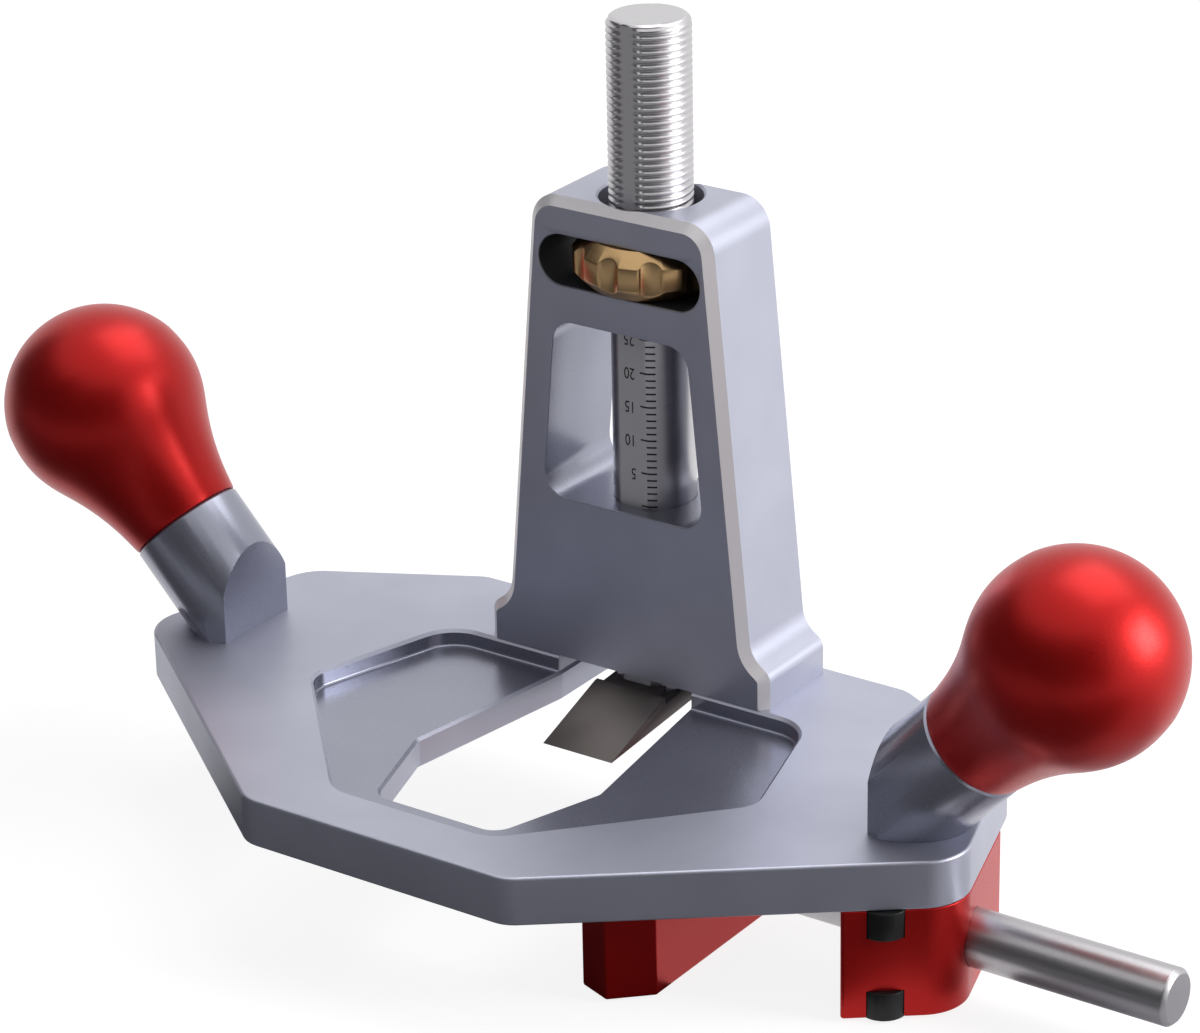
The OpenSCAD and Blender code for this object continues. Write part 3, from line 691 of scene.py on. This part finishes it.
bm = bmesh.new()
wide, narrow = on_plate(tower_shape), on_plate(inset(tower_shape, TOWER_BEVEL))
skin = [ring(bm, narrow, TOWER_FRONT, upright), ring(bm, wide, TOWER_FRONT + TOWER_BEVEL, upright),
        ring(bm, wide, TOWER_BACK - TOWER_BEVEL, upright), ring(bm, narrow, TOWER_BACK, upright)]
band(bm, skin[0], skin[1], BARE)
band(bm, skin[1], skin[2], SKIN)
band(bm, skin[2], skin[3], BARE)
holes = []
for shape, wall in ((slot_shape, SLOT_SHADE), (window_shape, MILLED_SHADE)):
    steps = [(TOWER_FRONT, 1.0), (TOWER_FRONT + 0.3 * HOLE_EDGE, 0.3), (TOWER_FRONT + HOLE_EDGE, 0),
             (TOWER_BACK - HOLE_EDGE, 0), (TOWER_BACK - 0.3 * HOLE_EDGE, 0.3), (TOWER_BACK, 1.0)]
    walls = [ring(bm, inset(shape, -HOLE_EDGE * share), depth, upright) for depth, share in steps]
    bands(bm, walls[:3])
    bands(bm, walls[2:4], wall)
    bands(bm, walls[3:])
    holes.append(walls)
cap(bm, [skin[0], holes[0][0], holes[1][0]])
cap(bm, [skin[3], holes[0][-1], holes[1][-1]])
tower = new_piece("milled_tower", bm, [blasted_grey, bare_edge, slot_wall_painted_shade, milled_grey_painted_shade],
                  "plane_body")

# %% [markdown]
# The bore for the post runs up through the foot and the window, and opens to a wider mouth above
# the slot. Two tapped holes enter from the left: the upper one locks the post, and the lower one
# holds the screw that keeps it from turning.

# %% Bores of the tower
LEFT = Matrix.Rotation(math.radians(-90), 4, "Y")
BORE_R, MOUTH_R, MOUTH_BREAK = 5.95, 7.3, 0.6
SET_SCREW_R = 2.05
# Height and radius of each tapped hole, and how far out the tower's left side is there
LOCK_HOLE, GUIDE_HOLE = (26.4, 3.05, 18.84), (17.7, SET_SCREW_R, 19.65)

bm = bmesh.new()
turned(bm, straight(BORE_R, 6, 66), steps=96)
turned(bm, [(0, 68), (MOUTH_R, 68), (MOUTH_R, 76.9 - MOUTH_BREAK), (MOUTH_R + MOUTH_BREAK, 76.9),
            (MOUTH_R + MOUTH_BREAK, 78), (0, 78)], steps=96)
for x, y in TOWER_SCREWS:
    turned(bm, [(0, 6), (SCREW_R, 6), (SCREW_R, 17), (0, 17.9)], at(x, y))
for z, r, side in (LOCK_HOLE, GUIDE_HOLE):
    turned(bm, [(0, 2), (r, 2), (r, side - 0.2), (r + 0.45, side + 0.25), (r + 0.45, 30), (0, 30)],
           at(0, 0, z) @ LEFT)
cut(tower, bm)
finish(tower, "tower")

# %% [markdown]
# ## Fence
#
# The block and the bar are sawn from red anodised bar. The block follows the plate's edge above it
# and is bored for the rod. The heads of its two screws sit in counterbores from below, and black
# bushes fill the counterbores from above. The front ones come so close to the face that head and
# bush show there through two notches. A set screw comes up from below to the rod.

# %% Fence block
FENCE_FLOOR = -16.0
ROD_Y, ROD_Z, ROD_BORE_R = -24.5, -8.0, 4.05
COUNTERBORE_R, LOWER_STEP, UPPER_STEP = 3.4, -11.9, -4.1
ALONG_X = at(0, ROD_Y, ROD_Z) @ Matrix.Rotation(math.radians(90), 4, "Y")
FROM_BELOW = straight(SET_SCREW_R, FENCE_FLOOR - 1, ROD_Z - 1)

block_outline = rounded(
    [(55.92, -41.28, 0.5), (69, -31.2, 7), (62.22, -9.5, 0.5), (55.92, -9.5, 0.5)])
bm = bmesh.new()
soft_slab(bm, block_outline, FENCE_FLOOR, 0, low_edge=0.35, high_edge=0.15)
block = new_piece("sawn_fence_block", bm, [satin_red], "plane_body")
bm = bmesh.new()
for x, y in BLOCK_SCREWS:
    turned(bm, [(0, FENCE_FLOOR - 1), (COUNTERBORE_R, FENCE_FLOOR - 1), (COUNTERBORE_R, LOWER_STEP),
                (SCREW_R, LOWER_STEP), (SCREW_R, UPPER_STEP), (COUNTERBORE_R, UPPER_STEP),
                (COUNTERBORE_R, 1), (0, 1)], at(x, y), steps=64)
turned(bm, straight(ROD_BORE_R, 50, 80), ALONG_X, steps=64)
turned(bm, FROM_BELOW, at(61.4, ROD_Y))
cut(block, bm)
finish(block, "fence_block")

# %% [markdown]
# The bar runs along the edge of the work. Its nose is cut to a blunt point, further back on the
# right than on the left. The rod sits in a hole in its right side, where a set screw from below
# holds it.

# %% Fence bar
BAR_TOP, BAR_CORNER = -0.2, 0.45
bar_outline = rounded([(x, y, BAR_CORNER) for x, y in (
    (22.4, -51.8), (27.4, -53.6), (32.4, -48.8), (32.4, 4.4), (22.4, 4.4))])
bm = bmesh.new()
soft_slab(bm, bar_outline, FENCE_FLOOR, BAR_TOP, low_edge=0.4, high_edge=0.3)
bar = new_piece("sawn_fence_bar", bm, [satin_red], "fence")
bm = bmesh.new()
turned(bm, straight(ROD_BORE_R, 24.35, 40), ALONG_X, steps=64)
turned(bm, FROM_BELOW, at(28.4, ROD_Y))
cut(bar, bm)
finish(bar, "fence_bar")

# %% [markdown]
# ## Small pieces with broken edges
#
# Collars, screws, bushes, studs, the lock pad, the rod and the cutter keep the shapes of their
# solids. The helper below copies a CAD solid, welds it, merges its flat facets and puts a Bevel
# modifier on every edge that turns by more than 25 degrees. Hardened normals keep the faces flat
# while the rounds stay smooth. The cutter's edges are almost sharp, so they get a very small bevel
# of one flat face.

# %% Helper for small pieces
WELD = 0.000002


def machined(node, material, edge_mm, segments=3):
    """A copy of a CAD node with broken edges, which stands for that node."""
    bm = bmesh.new()
    bm.from_mesh(nodes[node].data)
    bmesh.ops.remove_doubles(bm, verts=bm.verts, dist=WELD)
    bmesh.ops.dissolve_limit(bm, angle_limit=math.radians(0.4), verts=bm.verts, edges=bm.edges)
    piece = new_piece("dressed_" + node, bm, [material], BODY[node])
    piece.data.shade_smooth()
    edge = piece.modifiers.new("broken_edges", "BEVEL")
    edge.width = edge_mm * MM
    edge.segments = segments
    edge.limit_method = "ANGLE"
    edge.angle_limit = math.radians(25)
    edge.harden_normals = True
    edge.miter_outer = "MITER_ARC"
    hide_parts(node)
    return piece


# %% Small pieces
# The collars take the milled grey, whose darker tone is painted shade.
small = [machined(node, milled_grey_painted_shade, 0.2) for node in ("left_collar", "right_collar")]
small += [machined(node, black_oxide, 0.12) for node in (
    "tower_screws", "guide_screw", "blade_screw", "post_lock_screw", "left_collar_screws",
    "right_collar_screws", "block_screws", "block_bushes", "rod_lock_screw", "bar_screw")]
small.append(machined("post_lock_pad", polished_brass, 0.1))
# The cutter's darkened steel is painted shade.
small.append(machined("blade", ground_steel_painted_shade, 0.05, segments=1))
small += [machined(node, post_steel, 0.2) for node in ("left_stud", "right_stud")]
small.append(machined("fence_rod", rod_steel, 0.15))
print("small pieces:", len(small))

# %% [markdown]
# ## Knobs
#
# Each knob is turned on a lathe: a ball, a hollow that runs down to the neck, and a flat end on the
# collar. A lathe part is a profile spun round an axis, so it is made as rings of points. The
# profile follows two circles that touch, one for the ball and one for the hollow, and the bend
# between them is then eased. The stud's hole goes up the middle.

# %% Knobs
HANDLE_LEAN = math.radians(43)
HANDLE_FOOT = Vector((53.6, -24.0, PLATE_T))
COLLAR_L = 19.1
BALL_R, NECK_R, BALL_RISE, HOLLOW_R = 14.65, 8.45, 20.9, 36.0
STUD_R, STUD_DEPTH = 3.05, 14.05
HOLLOW_STEPS, BALL_STEPS = 24, 40
EASE_FROM, EASE_TO = 8, 44


def knob_profile():
    """Radius and height of a knob, from the end of the stud's hole out and up to the crown."""
    reach = BALL_R + HOLLOW_R
    chord = math.hypot(NECK_R, BALL_RISE)
    swing = math.acos((reach ** 2 + chord ** 2 - HOLLOW_R ** 2) / (2 * reach * chord))
    meet = math.atan2(-BALL_RISE, NECK_R) + swing
    centre = (reach * math.cos(meet), BALL_RISE + reach * math.sin(meet))
    start = math.atan2(-centre[1], NECK_R - centre[0]) % (2 * math.pi)
    end = math.pi + meet
    points = [(0, STUD_DEPTH), (STUD_R, STUD_DEPTH), (STUD_R, 0.2), (STUD_R + 0.2, 0),
              (NECK_R - 0.35, 0), (NECK_R - 0.1, 0.1), (NECK_R, 0.35)]
    for k in range(2, HOLLOW_STEPS + 1):
        a = start + (end - start) * k / HOLLOW_STEPS
        points.append((centre[0] + HOLLOW_R * math.cos(a), centre[1] + HOLLOW_R * math.sin(a)))
    for k in range(1, BALL_STEPS + 1):
        a = meet + (math.pi / 2 - meet) * k / BALL_STEPS
        points.append((max(BALL_R * math.cos(a), 0.0), BALL_RISE + BALL_R * math.sin(a)))
    return eased(points, EASE_FROM, EASE_TO)


def eased(points, first, last, rounds=10):
    """The points with the bends between first and last spread out, as filing and polishing do."""
    for _ in range(rounds):
        near = zip(points[first - 1:last - 1], points[first:last], points[first + 1:last + 1])
        middle = [tuple((a + 2 * b + c) / 4 for a, b, c in zip(*three)) for three in near]
        points = points[:first] + middle + points[last:]
    return points


for side, sign in (("left", -1), ("right", 1)):
    foot = Vector((sign * HANDLE_FOOT.x, HANDLE_FOOT.y, HANDLE_FOOT.z)) * MM
    stand = Matrix.Translation(foot) @ Matrix.Rotation(sign * HANDLE_LEAN, 4, "Y")
    bm = bmesh.new()
    turned(bm, knob_profile(), stand @ at(0, 0, COLLAR_L), steps=128)
    finish(new_piece(side + "_knob_turned", bm, [satin_red], "plane_body"), side + "_knob")

# %% [markdown]
# ## Depth nut
#
# The nut is a brass wheel with wide bevels on both rims and eleven shallow grooves for the finger.
# Seen from above, its edge is a circle bitten by smaller circles. Every bevel, wall and face is
# ruled, straight from ring to ring, so the exact curve where a groove runs out into the bevel needs
# no more than the right height at each point round the rim.

# %% Depth nut
NUT_LOW, NUT_HIGH = 64.1, 71.3
NUT_R, NUT_BEVEL = 11.0, 2.0
GROOVES, GROOVE_R, GROOVE_DEPTH = 11, 2.2, 0.9
NUT_STEPS = GROOVES * 64
NUT_EDGE, NUT_EASE, BORE_BREAK = 0.12, 0.03, 0.2


def nut_rim(angle):
    """Radius of the nut's wall at an angle, with the sharp crests between grooves eased."""
    pitch = 2 * math.pi / GROOVES
    away = (angle + pitch / 2) % pitch - pitch / 2
    middle = NUT_R - GROOVE_DEPTH + GROOVE_R
    under = GROOVE_R ** 2 - (middle * math.sin(away)) ** 2
    bite = middle * math.cos(away) - math.sqrt(under) if under > 0 else NUT_R + 1
    crest = max(0.0, 1 - abs(bite - NUT_R) / NUT_EDGE)
    return min(NUT_R, bite) - NUT_EASE * crest * crest


bm = bmesh.new()
posts = []
for k in range(NUT_STEPS):
    angle = 2 * math.pi * k / NUT_STEPS
    rim = nut_rim(angle)
    rim_z = NUT_HIGH - (rim - (NUT_R - NUT_BEVEL))
    upper = [(BORE_R, NUT_HIGH - BORE_BREAK), (BORE_R + BORE_BREAK, NUT_HIGH),
             (NUT_R - NUT_BEVEL, NUT_HIGH), (rim - NUT_EDGE, rim_z + NUT_EDGE),
             (rim - NUT_EASE, rim_z - NUT_EASE), (rim, rim_z - NUT_EDGE)]
    lower = [(r, NUT_LOW + NUT_HIGH - z) for r, z in reversed(upper)]
    turn = angle - math.pi / 2
    posts.append([bm.verts.new(Vector((r * math.cos(turn), r * math.sin(turn), z)) * MM)
                  for r, z in upper + lower])
loops = [list(loop) for loop in zip(*posts)]
bands(bm, loops + [loops[0]])
finish(new_piece("fluted_depth_nut", bm, [polished_brass], "nut"), "depth_nut", crisp=40)

# %% [markdown]
# ## Threaded post
#
# The post has an M12 thread with a fine pitch of 1 mm on its upper half and is plain below. The
# thread is modelled, not painted. Each row of points climbs by one pitch as it goes once round the
# bar, so a whole row lies on the crest or in the root of the thread, and its end meets the start of
# the same row one pitch higher. A flat is milled along the front by holding every point behind one
# plane. It is cut as deep as the thread, so the scale gets a smooth face.

# %% Post with its thread
POST_R, POST_LOW, POST_TOP = 5.9, -1.5, 102.2
PITCH = 1.0
THREAD_START, THREAD_FADE = 60.5, 1.5
FLAT_Y, FLAT_SLACK = 5.4, 0.02
CROWN = 1.2
ROUND_STEPS = 96
# Place on the pitch, and depth of the thread there: crest, flank, root, flank
THREAD_SHAPE = [(0.0, 0.0), (0.11, 0.0), (0.16, 0.03), (0.38, 0.42), (0.43, 0.45),
                (0.53, 0.45), (0.58, 0.42), (0.8, 0.03), (0.85, 0.0)]


def post_radius(z, depth):
    """Radius at a height, for a row that lies this deep in the thread."""
    fade = min(1.0, max(0.0, (z - THREAD_START) / THREAD_FADE))
    r = POST_R - depth * fade
    if z > POST_TOP - CROWN:
        lift = (z - (POST_TOP - CROWN)) / CROWN
        r = min(r, POST_R - CROWN + CROWN * math.sqrt(max(0.0, 1 - lift * lift)))
    return r


plain_rows = math.ceil((THREAD_START - POST_LOW) / PITCH) + 1
rows = [(THREAD_START - k * PITCH, 0.0) for k in range(plain_rows, 0, -1)]
for turn in range(math.ceil((POST_TOP - THREAD_START) / PITCH) + 1):
    rows += [(THREAD_START + (turn + share) * PITCH, depth) for share, depth in THREAD_SHAPE]
bm = bmesh.new()
grid = []
for z_start, depth in rows:
    line = []
    for k in range(ROUND_STEPS + 1):
        a = 2 * math.pi * k / ROUND_STEPS
        z = min(POST_TOP, max(POST_LOW, z_start + PITCH * k / ROUND_STEPS))
        r = post_radius(z, depth)
        line.append(bm.verts.new(Vector((r * math.cos(a), max(r * math.sin(a), -FLAT_Y), z)) * MM))
    grid.append(line)
for low, high in zip(grid, grid[1:]):
    for k in range(ROUND_STEPS):
        face = bm.faces.new((low[k], low[k + 1], high[k + 1], high[k]))
        on_flat = face.calc_center_median().y < (FLAT_SLACK - FLAT_Y) * MM
        face.material_index = 1 if on_flat else 0
bmesh.ops.remove_doubles(bm, verts=bm.verts, dist=WELD)
bmesh.ops.dissolve_degenerate(bm, edges=bm.edges, dist=WELD / 4)
bmesh.ops.holes_fill(bm, edges=[e for e in bm.edges if e.is_boundary], sides=0)
print("open edges of the post:", sum(1 for e in bm.edges if not e.is_manifold))
post = new_piece("threaded_post", bm, [post_steel, flat_steel], "post")

# %% [markdown]
# The lower end of the post is cut to seat on the cutter's neck, which leans by 4.5 degrees, and is
# tapped for its screw. A keyway on the left takes the point of the guide screw.

# %% Seat and keyway of the post
EDGE_Y, EDGE_Z, BLADE_LEAN = -20.6, -0.5, math.radians(4.5)
BLADE = at(0, EDGE_Y, EDGE_Z) @ Matrix.Rotation(BLADE_LEAN, 4, "X")
KEY_HALF, KEY_LOW, KEY_HIGH, KEY_ROUND = 1.6, 14.4, 43.5, 1.58

seat_shape = [Vector(p) for p in ((-10, -10), (10, -10), (10, 2.6), (4.1, 2.6), (4.1, 3.65),
                                  (-4.1, 3.65), (-4.1, 2.6), (-10, 2.6))]
key_shape = rounded([(y, z, KEY_ROUND) for y, z in (
    (-KEY_HALF, KEY_LOW), (KEY_HALF, KEY_LOW), (KEY_HALF, KEY_HIGH), (-KEY_HALF, KEY_HIGH))])
bm = bmesh.new()
prism(bm, seat_shape, (5, 35), upright)
bmesh.ops.transform(bm, matrix=BLADE, verts=bm.verts)
turned(bm, [(0, 3), (SCREW_R, 3), (SCREW_R, 13.6), (0, 14.5)], BLADE @ at(0, -EDGE_Y))
prism(bm, key_shape, (-8, -4.6), sideways)
cut(post, bm)
finish(post, "depth_post", crisp=32)

# %% [markdown]
# ## Depth scale
#
# Marks every millimetre run from the flat round the right of the post. Each fifth one is longer,
# and all the long ones but the lowest have a number. The numbers are upside down, because the plane
# is turned over when its depth is set. Marks and numbers are thin skins that stand 0.02 mm proud of
# the steel.

# %% Scale marks
SCALE_ZERO, MARKS, NUMBERED = 32.2, 28, 5
MARK_TALL = 0.24
SHORT_FROM, LONG_FROM, MARK_TO = 22.8, 13.0, 36.7
PROUD, SUNK = 0.02, -0.03
MARK_STEPS = 6


def mark_point(angle_deg, z, lift):
    """A point over the post's surface, an angle from the front towards the right."""
    a = math.radians(angle_deg)
    x, y = (POST_R + lift) * math.sin(a), -(POST_R + lift) * math.cos(a)
    return Vector((x, max(y, -FLAT_Y - lift), z)) * MM


bm = bmesh.new()
for n in range(MARKS):
    start = SHORT_FROM if n % NUMBERED else LONG_FROM
    angles = [start + (MARK_TO - start) * k / MARK_STEPS for k in range(MARK_STEPS + 1)]
    loops = []
    for dz, lift in ((-0.5, PROUD), (0.5, PROUD), (0.5, SUNK), (-0.5, SUNK)):
        z = SCALE_ZERO + n + dz * MARK_TALL
        loops.append([bm.verts.new(mark_point(angle, z, lift)) for angle in angles])
    for k in range(MARK_STEPS):
        for i in range(4):
            a, b = loops[i], loops[(i + 1) % 4]
            bm.faces.new((a[k], a[k + 1], b[k + 1], b[k]))
    bm.faces.new([loop[0] for loop in loops])
    bm.faces.new([loop[-1] for loop in loops])
marks_piece = new_piece("scale_marks", bm, [laser_black], "post")
print("marks:", MARKS)

# %% [markdown]
# The numbers are text objects, a little narrower than the font draws them. Each is turned to face
# the front, and then half round, so that it stands on its head below its mark.

# %% Scale numbers
NUMBER_TALL, NUMBER_WIDTH = 2.45, 0.75
NUMBER_START = 0.5
NUMBER_DROP = 0.35
FLIPPED = Matrix.Rotation(math.radians(90), 4, "X") @ Matrix.Rotation(math.pi, 4, "Z")
NARROWED = Matrix.Diagonal((NUMBER_WIDTH, 1, 1, 1))
for n in range(NUMBERED, MARKS, NUMBERED):
    text = bpy.data.curves.new(f"scale_number_{n}", "FONT")
    text.body = str(n)
    text.size = NUMBER_TALL * MM
    text.extrude = PROUD * MM
    text.align_x = "LEFT"
    text.align_y = "CENTER"
    text.materials.append(laser_black)
    number = into_scene(f"scale_number_{n}", text)
    spot = at(NUMBER_START, -FLAT_Y, SCALE_ZERO + n - NUMBER_DROP)
    number.matrix_world = spot @ FLIPPED @ NARROWED
    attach(number, "post")
print("numbers:", MARKS // NUMBERED)

# %% [markdown]
# ## Floor
#
# The plane stands on a pale floor. The camera, mirrors and glass see it glow almost white, so that
# it melts into the backdrop and still shows the plane's shadow. To the light that it throws back on
# the plane it is a plain grey, so the undersides stay dim.

# %% Floor
FLOOR_GAP, FLOOR_REACH = 0.0005, 3
floor_level = cad_low.z - FLOOR_GAP


def sheet(name, corners, material):
    """A flat four-cornered piece of the studio."""
    mesh = bpy.data.meshes.new(name)
    mesh.from_pydata(corners, [], [(0, 1, 2, 3)])
    mesh.materials.append(material)
    piece = into_scene(name, mesh)
    return piece


def flat_corners(left, right, front, back, level):
    """Corners of a rectangle that lies flat."""
    return [(left, front, level), (right, front, level), (right, back, level), (left, back, level)]


def seen_rays(tree):
    """1 for rays from the camera, a mirror or glass, and 0 for those that light a surface."""
    rays = add(tree, "ShaderNodeLightPath")
    seen = rays.outputs["Is Camera Ray"]
    for kind in ("Is Glossy Ray", "Is Transmission Ray"):
        either = add(tree, "ShaderNodeMath", {0: seen, 1: rays.outputs[kind]}, operation="MAXIMUM")
        seen = either.outputs[0]
    return seen


floor_paint = bpy.data.materials.new("pale_studio_floor")
floor_paint.use_nodes = True
tree = floor_paint.node_tree
tree.nodes.clear()
shaded = add(tree, "ShaderNodeBsdfDiffuse", {"Color": linear("8c8c8c")})
glow = add(tree, "ShaderNodeEmission", {"Color": (1, 1, 1, 1), "Strength": 0.86})
pale = add(tree, "ShaderNodeAddShader", {0: shaded.outputs[0], 1: glow.outputs[0]})
plain = add(tree, "ShaderNodeBsdfDiffuse", {"Color": linear("969696")})
mixed = add(tree, "ShaderNodeMixShader",
            {0: seen_rays(tree), 1: plain.outputs[0], 2: pale.outputs[0]})
add(tree, "ShaderNodeOutputMaterial", {"Surface": mixed.outputs["Shader"]})
sheet("floor", flat_corners(-FLOOR_REACH, FLOOR_REACH, -FLOOR_REACH, FLOOR_REACH, floor_level),
      floor_paint)
print("floor at", round(floor_level, 4))

# %% [markdown]
# ## Flag and mats
#
# In the photograph the metal that faces the front mirrors something dark. A photographer calls
# that a flag: here it is a curved row of dark panels behind the camera. A dark mat lies before the
# plane, where its front faces look down at the floor, with a paler one before it and one under its
# right side. Only reflections see these cloths, so the floor and the backdrop stay white.

# %% Flag and mats
FLAG_R, FLAG_TOP = 0.8, 0.75
FLAG_FROM, FLAG_TO, FLAG_PANELS = -190, -25, 8
MAT_BACK, MAT_SPLIT, MAT_RIGHT = -0.045, -0.15, 0.3
MAT_SIDE, SIDE_BACK = 0.072, 0.015
MAT_LIFT = 0.0004


def cloth(name, colour):
    """Dull cloth of one shade."""
    material, _, shader = new_material(name)
    shader.inputs["Base Color"].default_value = linear(colour)
    shader.inputs["Roughness"].default_value = 0.9
    return material


dark_cloth, grey_cloth = cloth("dark_flag_cloth", "5e5e60"), cloth("grey_flag_cloth", "cacacd")


def flag_post(k):
    """Foot of the flag's post number k, on an arc round the plane."""
    a = math.radians(FLAG_FROM + (FLAG_TO - FLAG_FROM) * k / FLAG_PANELS)
    return FLAG_R * math.cos(a), FLAG_R * math.sin(a)


panels = []
for k in range(FLAG_PANELS):
    (x0, y0), (x1, y1) = flag_post(k), flag_post(k + 1)
    corners = [(x0, y0, floor_level), (x1, y1, floor_level), (x1, y1, FLAG_TOP), (x0, y0, FLAG_TOP)]
    panels.append(sheet(f"flag_{k}", corners, dark_cloth))
for name, left, front, back, material in (
        ("flag_mat_near", -FLAG_R, MAT_SPLIT, MAT_BACK, dark_cloth),
        ("flag_mat_far", -FLAG_R, -FLAG_R, MAT_SPLIT, grey_cloth),
        ("flag_mat_side", MAT_SIDE, MAT_BACK, SIDE_BACK, grey_cloth)):
    corners = flat_corners(left, MAT_RIGHT, front, back, floor_level + MAT_LIFT)
    panels.append(sheet(name, corners, material))
for panel in panels:
    panel.visible_camera = False
    panel.visible_diffuse = False
    panel.visible_transmission = False
    panel.visible_shadow = False
print("flag panels and mats:", len(panels))

# %% [markdown]
# ## Lamps and backdrop
#
# One lamp lights the plane from the right and a little from behind, and a wider one from above. The
# top and the right faces are bright, and the front falls into a soft grey, as in a product studio.
# The world is the backdrop: white where it is seen or mirrored, and a dim, slightly blue light on
# everything else.

# %% Lamps and world
MIDDLE = Vector((0.0, -0.02, 0.03))
DIM_BLUE, DIM_STRENGTH = (0.96, 0.98, 1.04, 1), 0.3
WHITE, WHITE_STRENGTH = (1, 1, 1, 1), 1.0


def soft_lamp(name, place, size, power):
    """A square area lamp that faces the plane."""
    data = bpy.data.lights.new(name, "AREA")
    data.shape = "SQUARE"
    data.size = size
    data.energy = power
    lamp = into_scene(name, data)
    lamp.location = place
    lamp.rotation_euler = (MIDDLE - Vector(place)).to_track_quat("-Z", "Y").to_euler()
    print("lamp:", name, power, "W")


soft_lamp("right_lamp", place=(0.95, 0.35, 0.42), size=0.45, power=9)
soft_lamp("top_lamp", place=(0.1, 0.4, 0.95), size=0.8, power=4.5)

world = bpy.data.worlds.new("studio")
bpy.context.scene.world = world
world.use_nodes = True
tree = world.node_tree
tree.nodes.clear()
dim = add(tree, "ShaderNodeBackground", {"Color": DIM_BLUE, "Strength": DIM_STRENGTH})
white = add(tree, "ShaderNodeBackground", {"Color": WHITE, "Strength": WHITE_STRENGTH})
mixed = add(tree, "ShaderNodeMixShader",
            {0: seen_rays(tree), 1: dim.outputs["Background"], 2: white.outputs["Background"]})
add(tree, "ShaderNodeOutputWorld", {"Surface": mixed.outputs["Shader"]})

bpy.context.scene.view_settings.view_transform = "Standard"
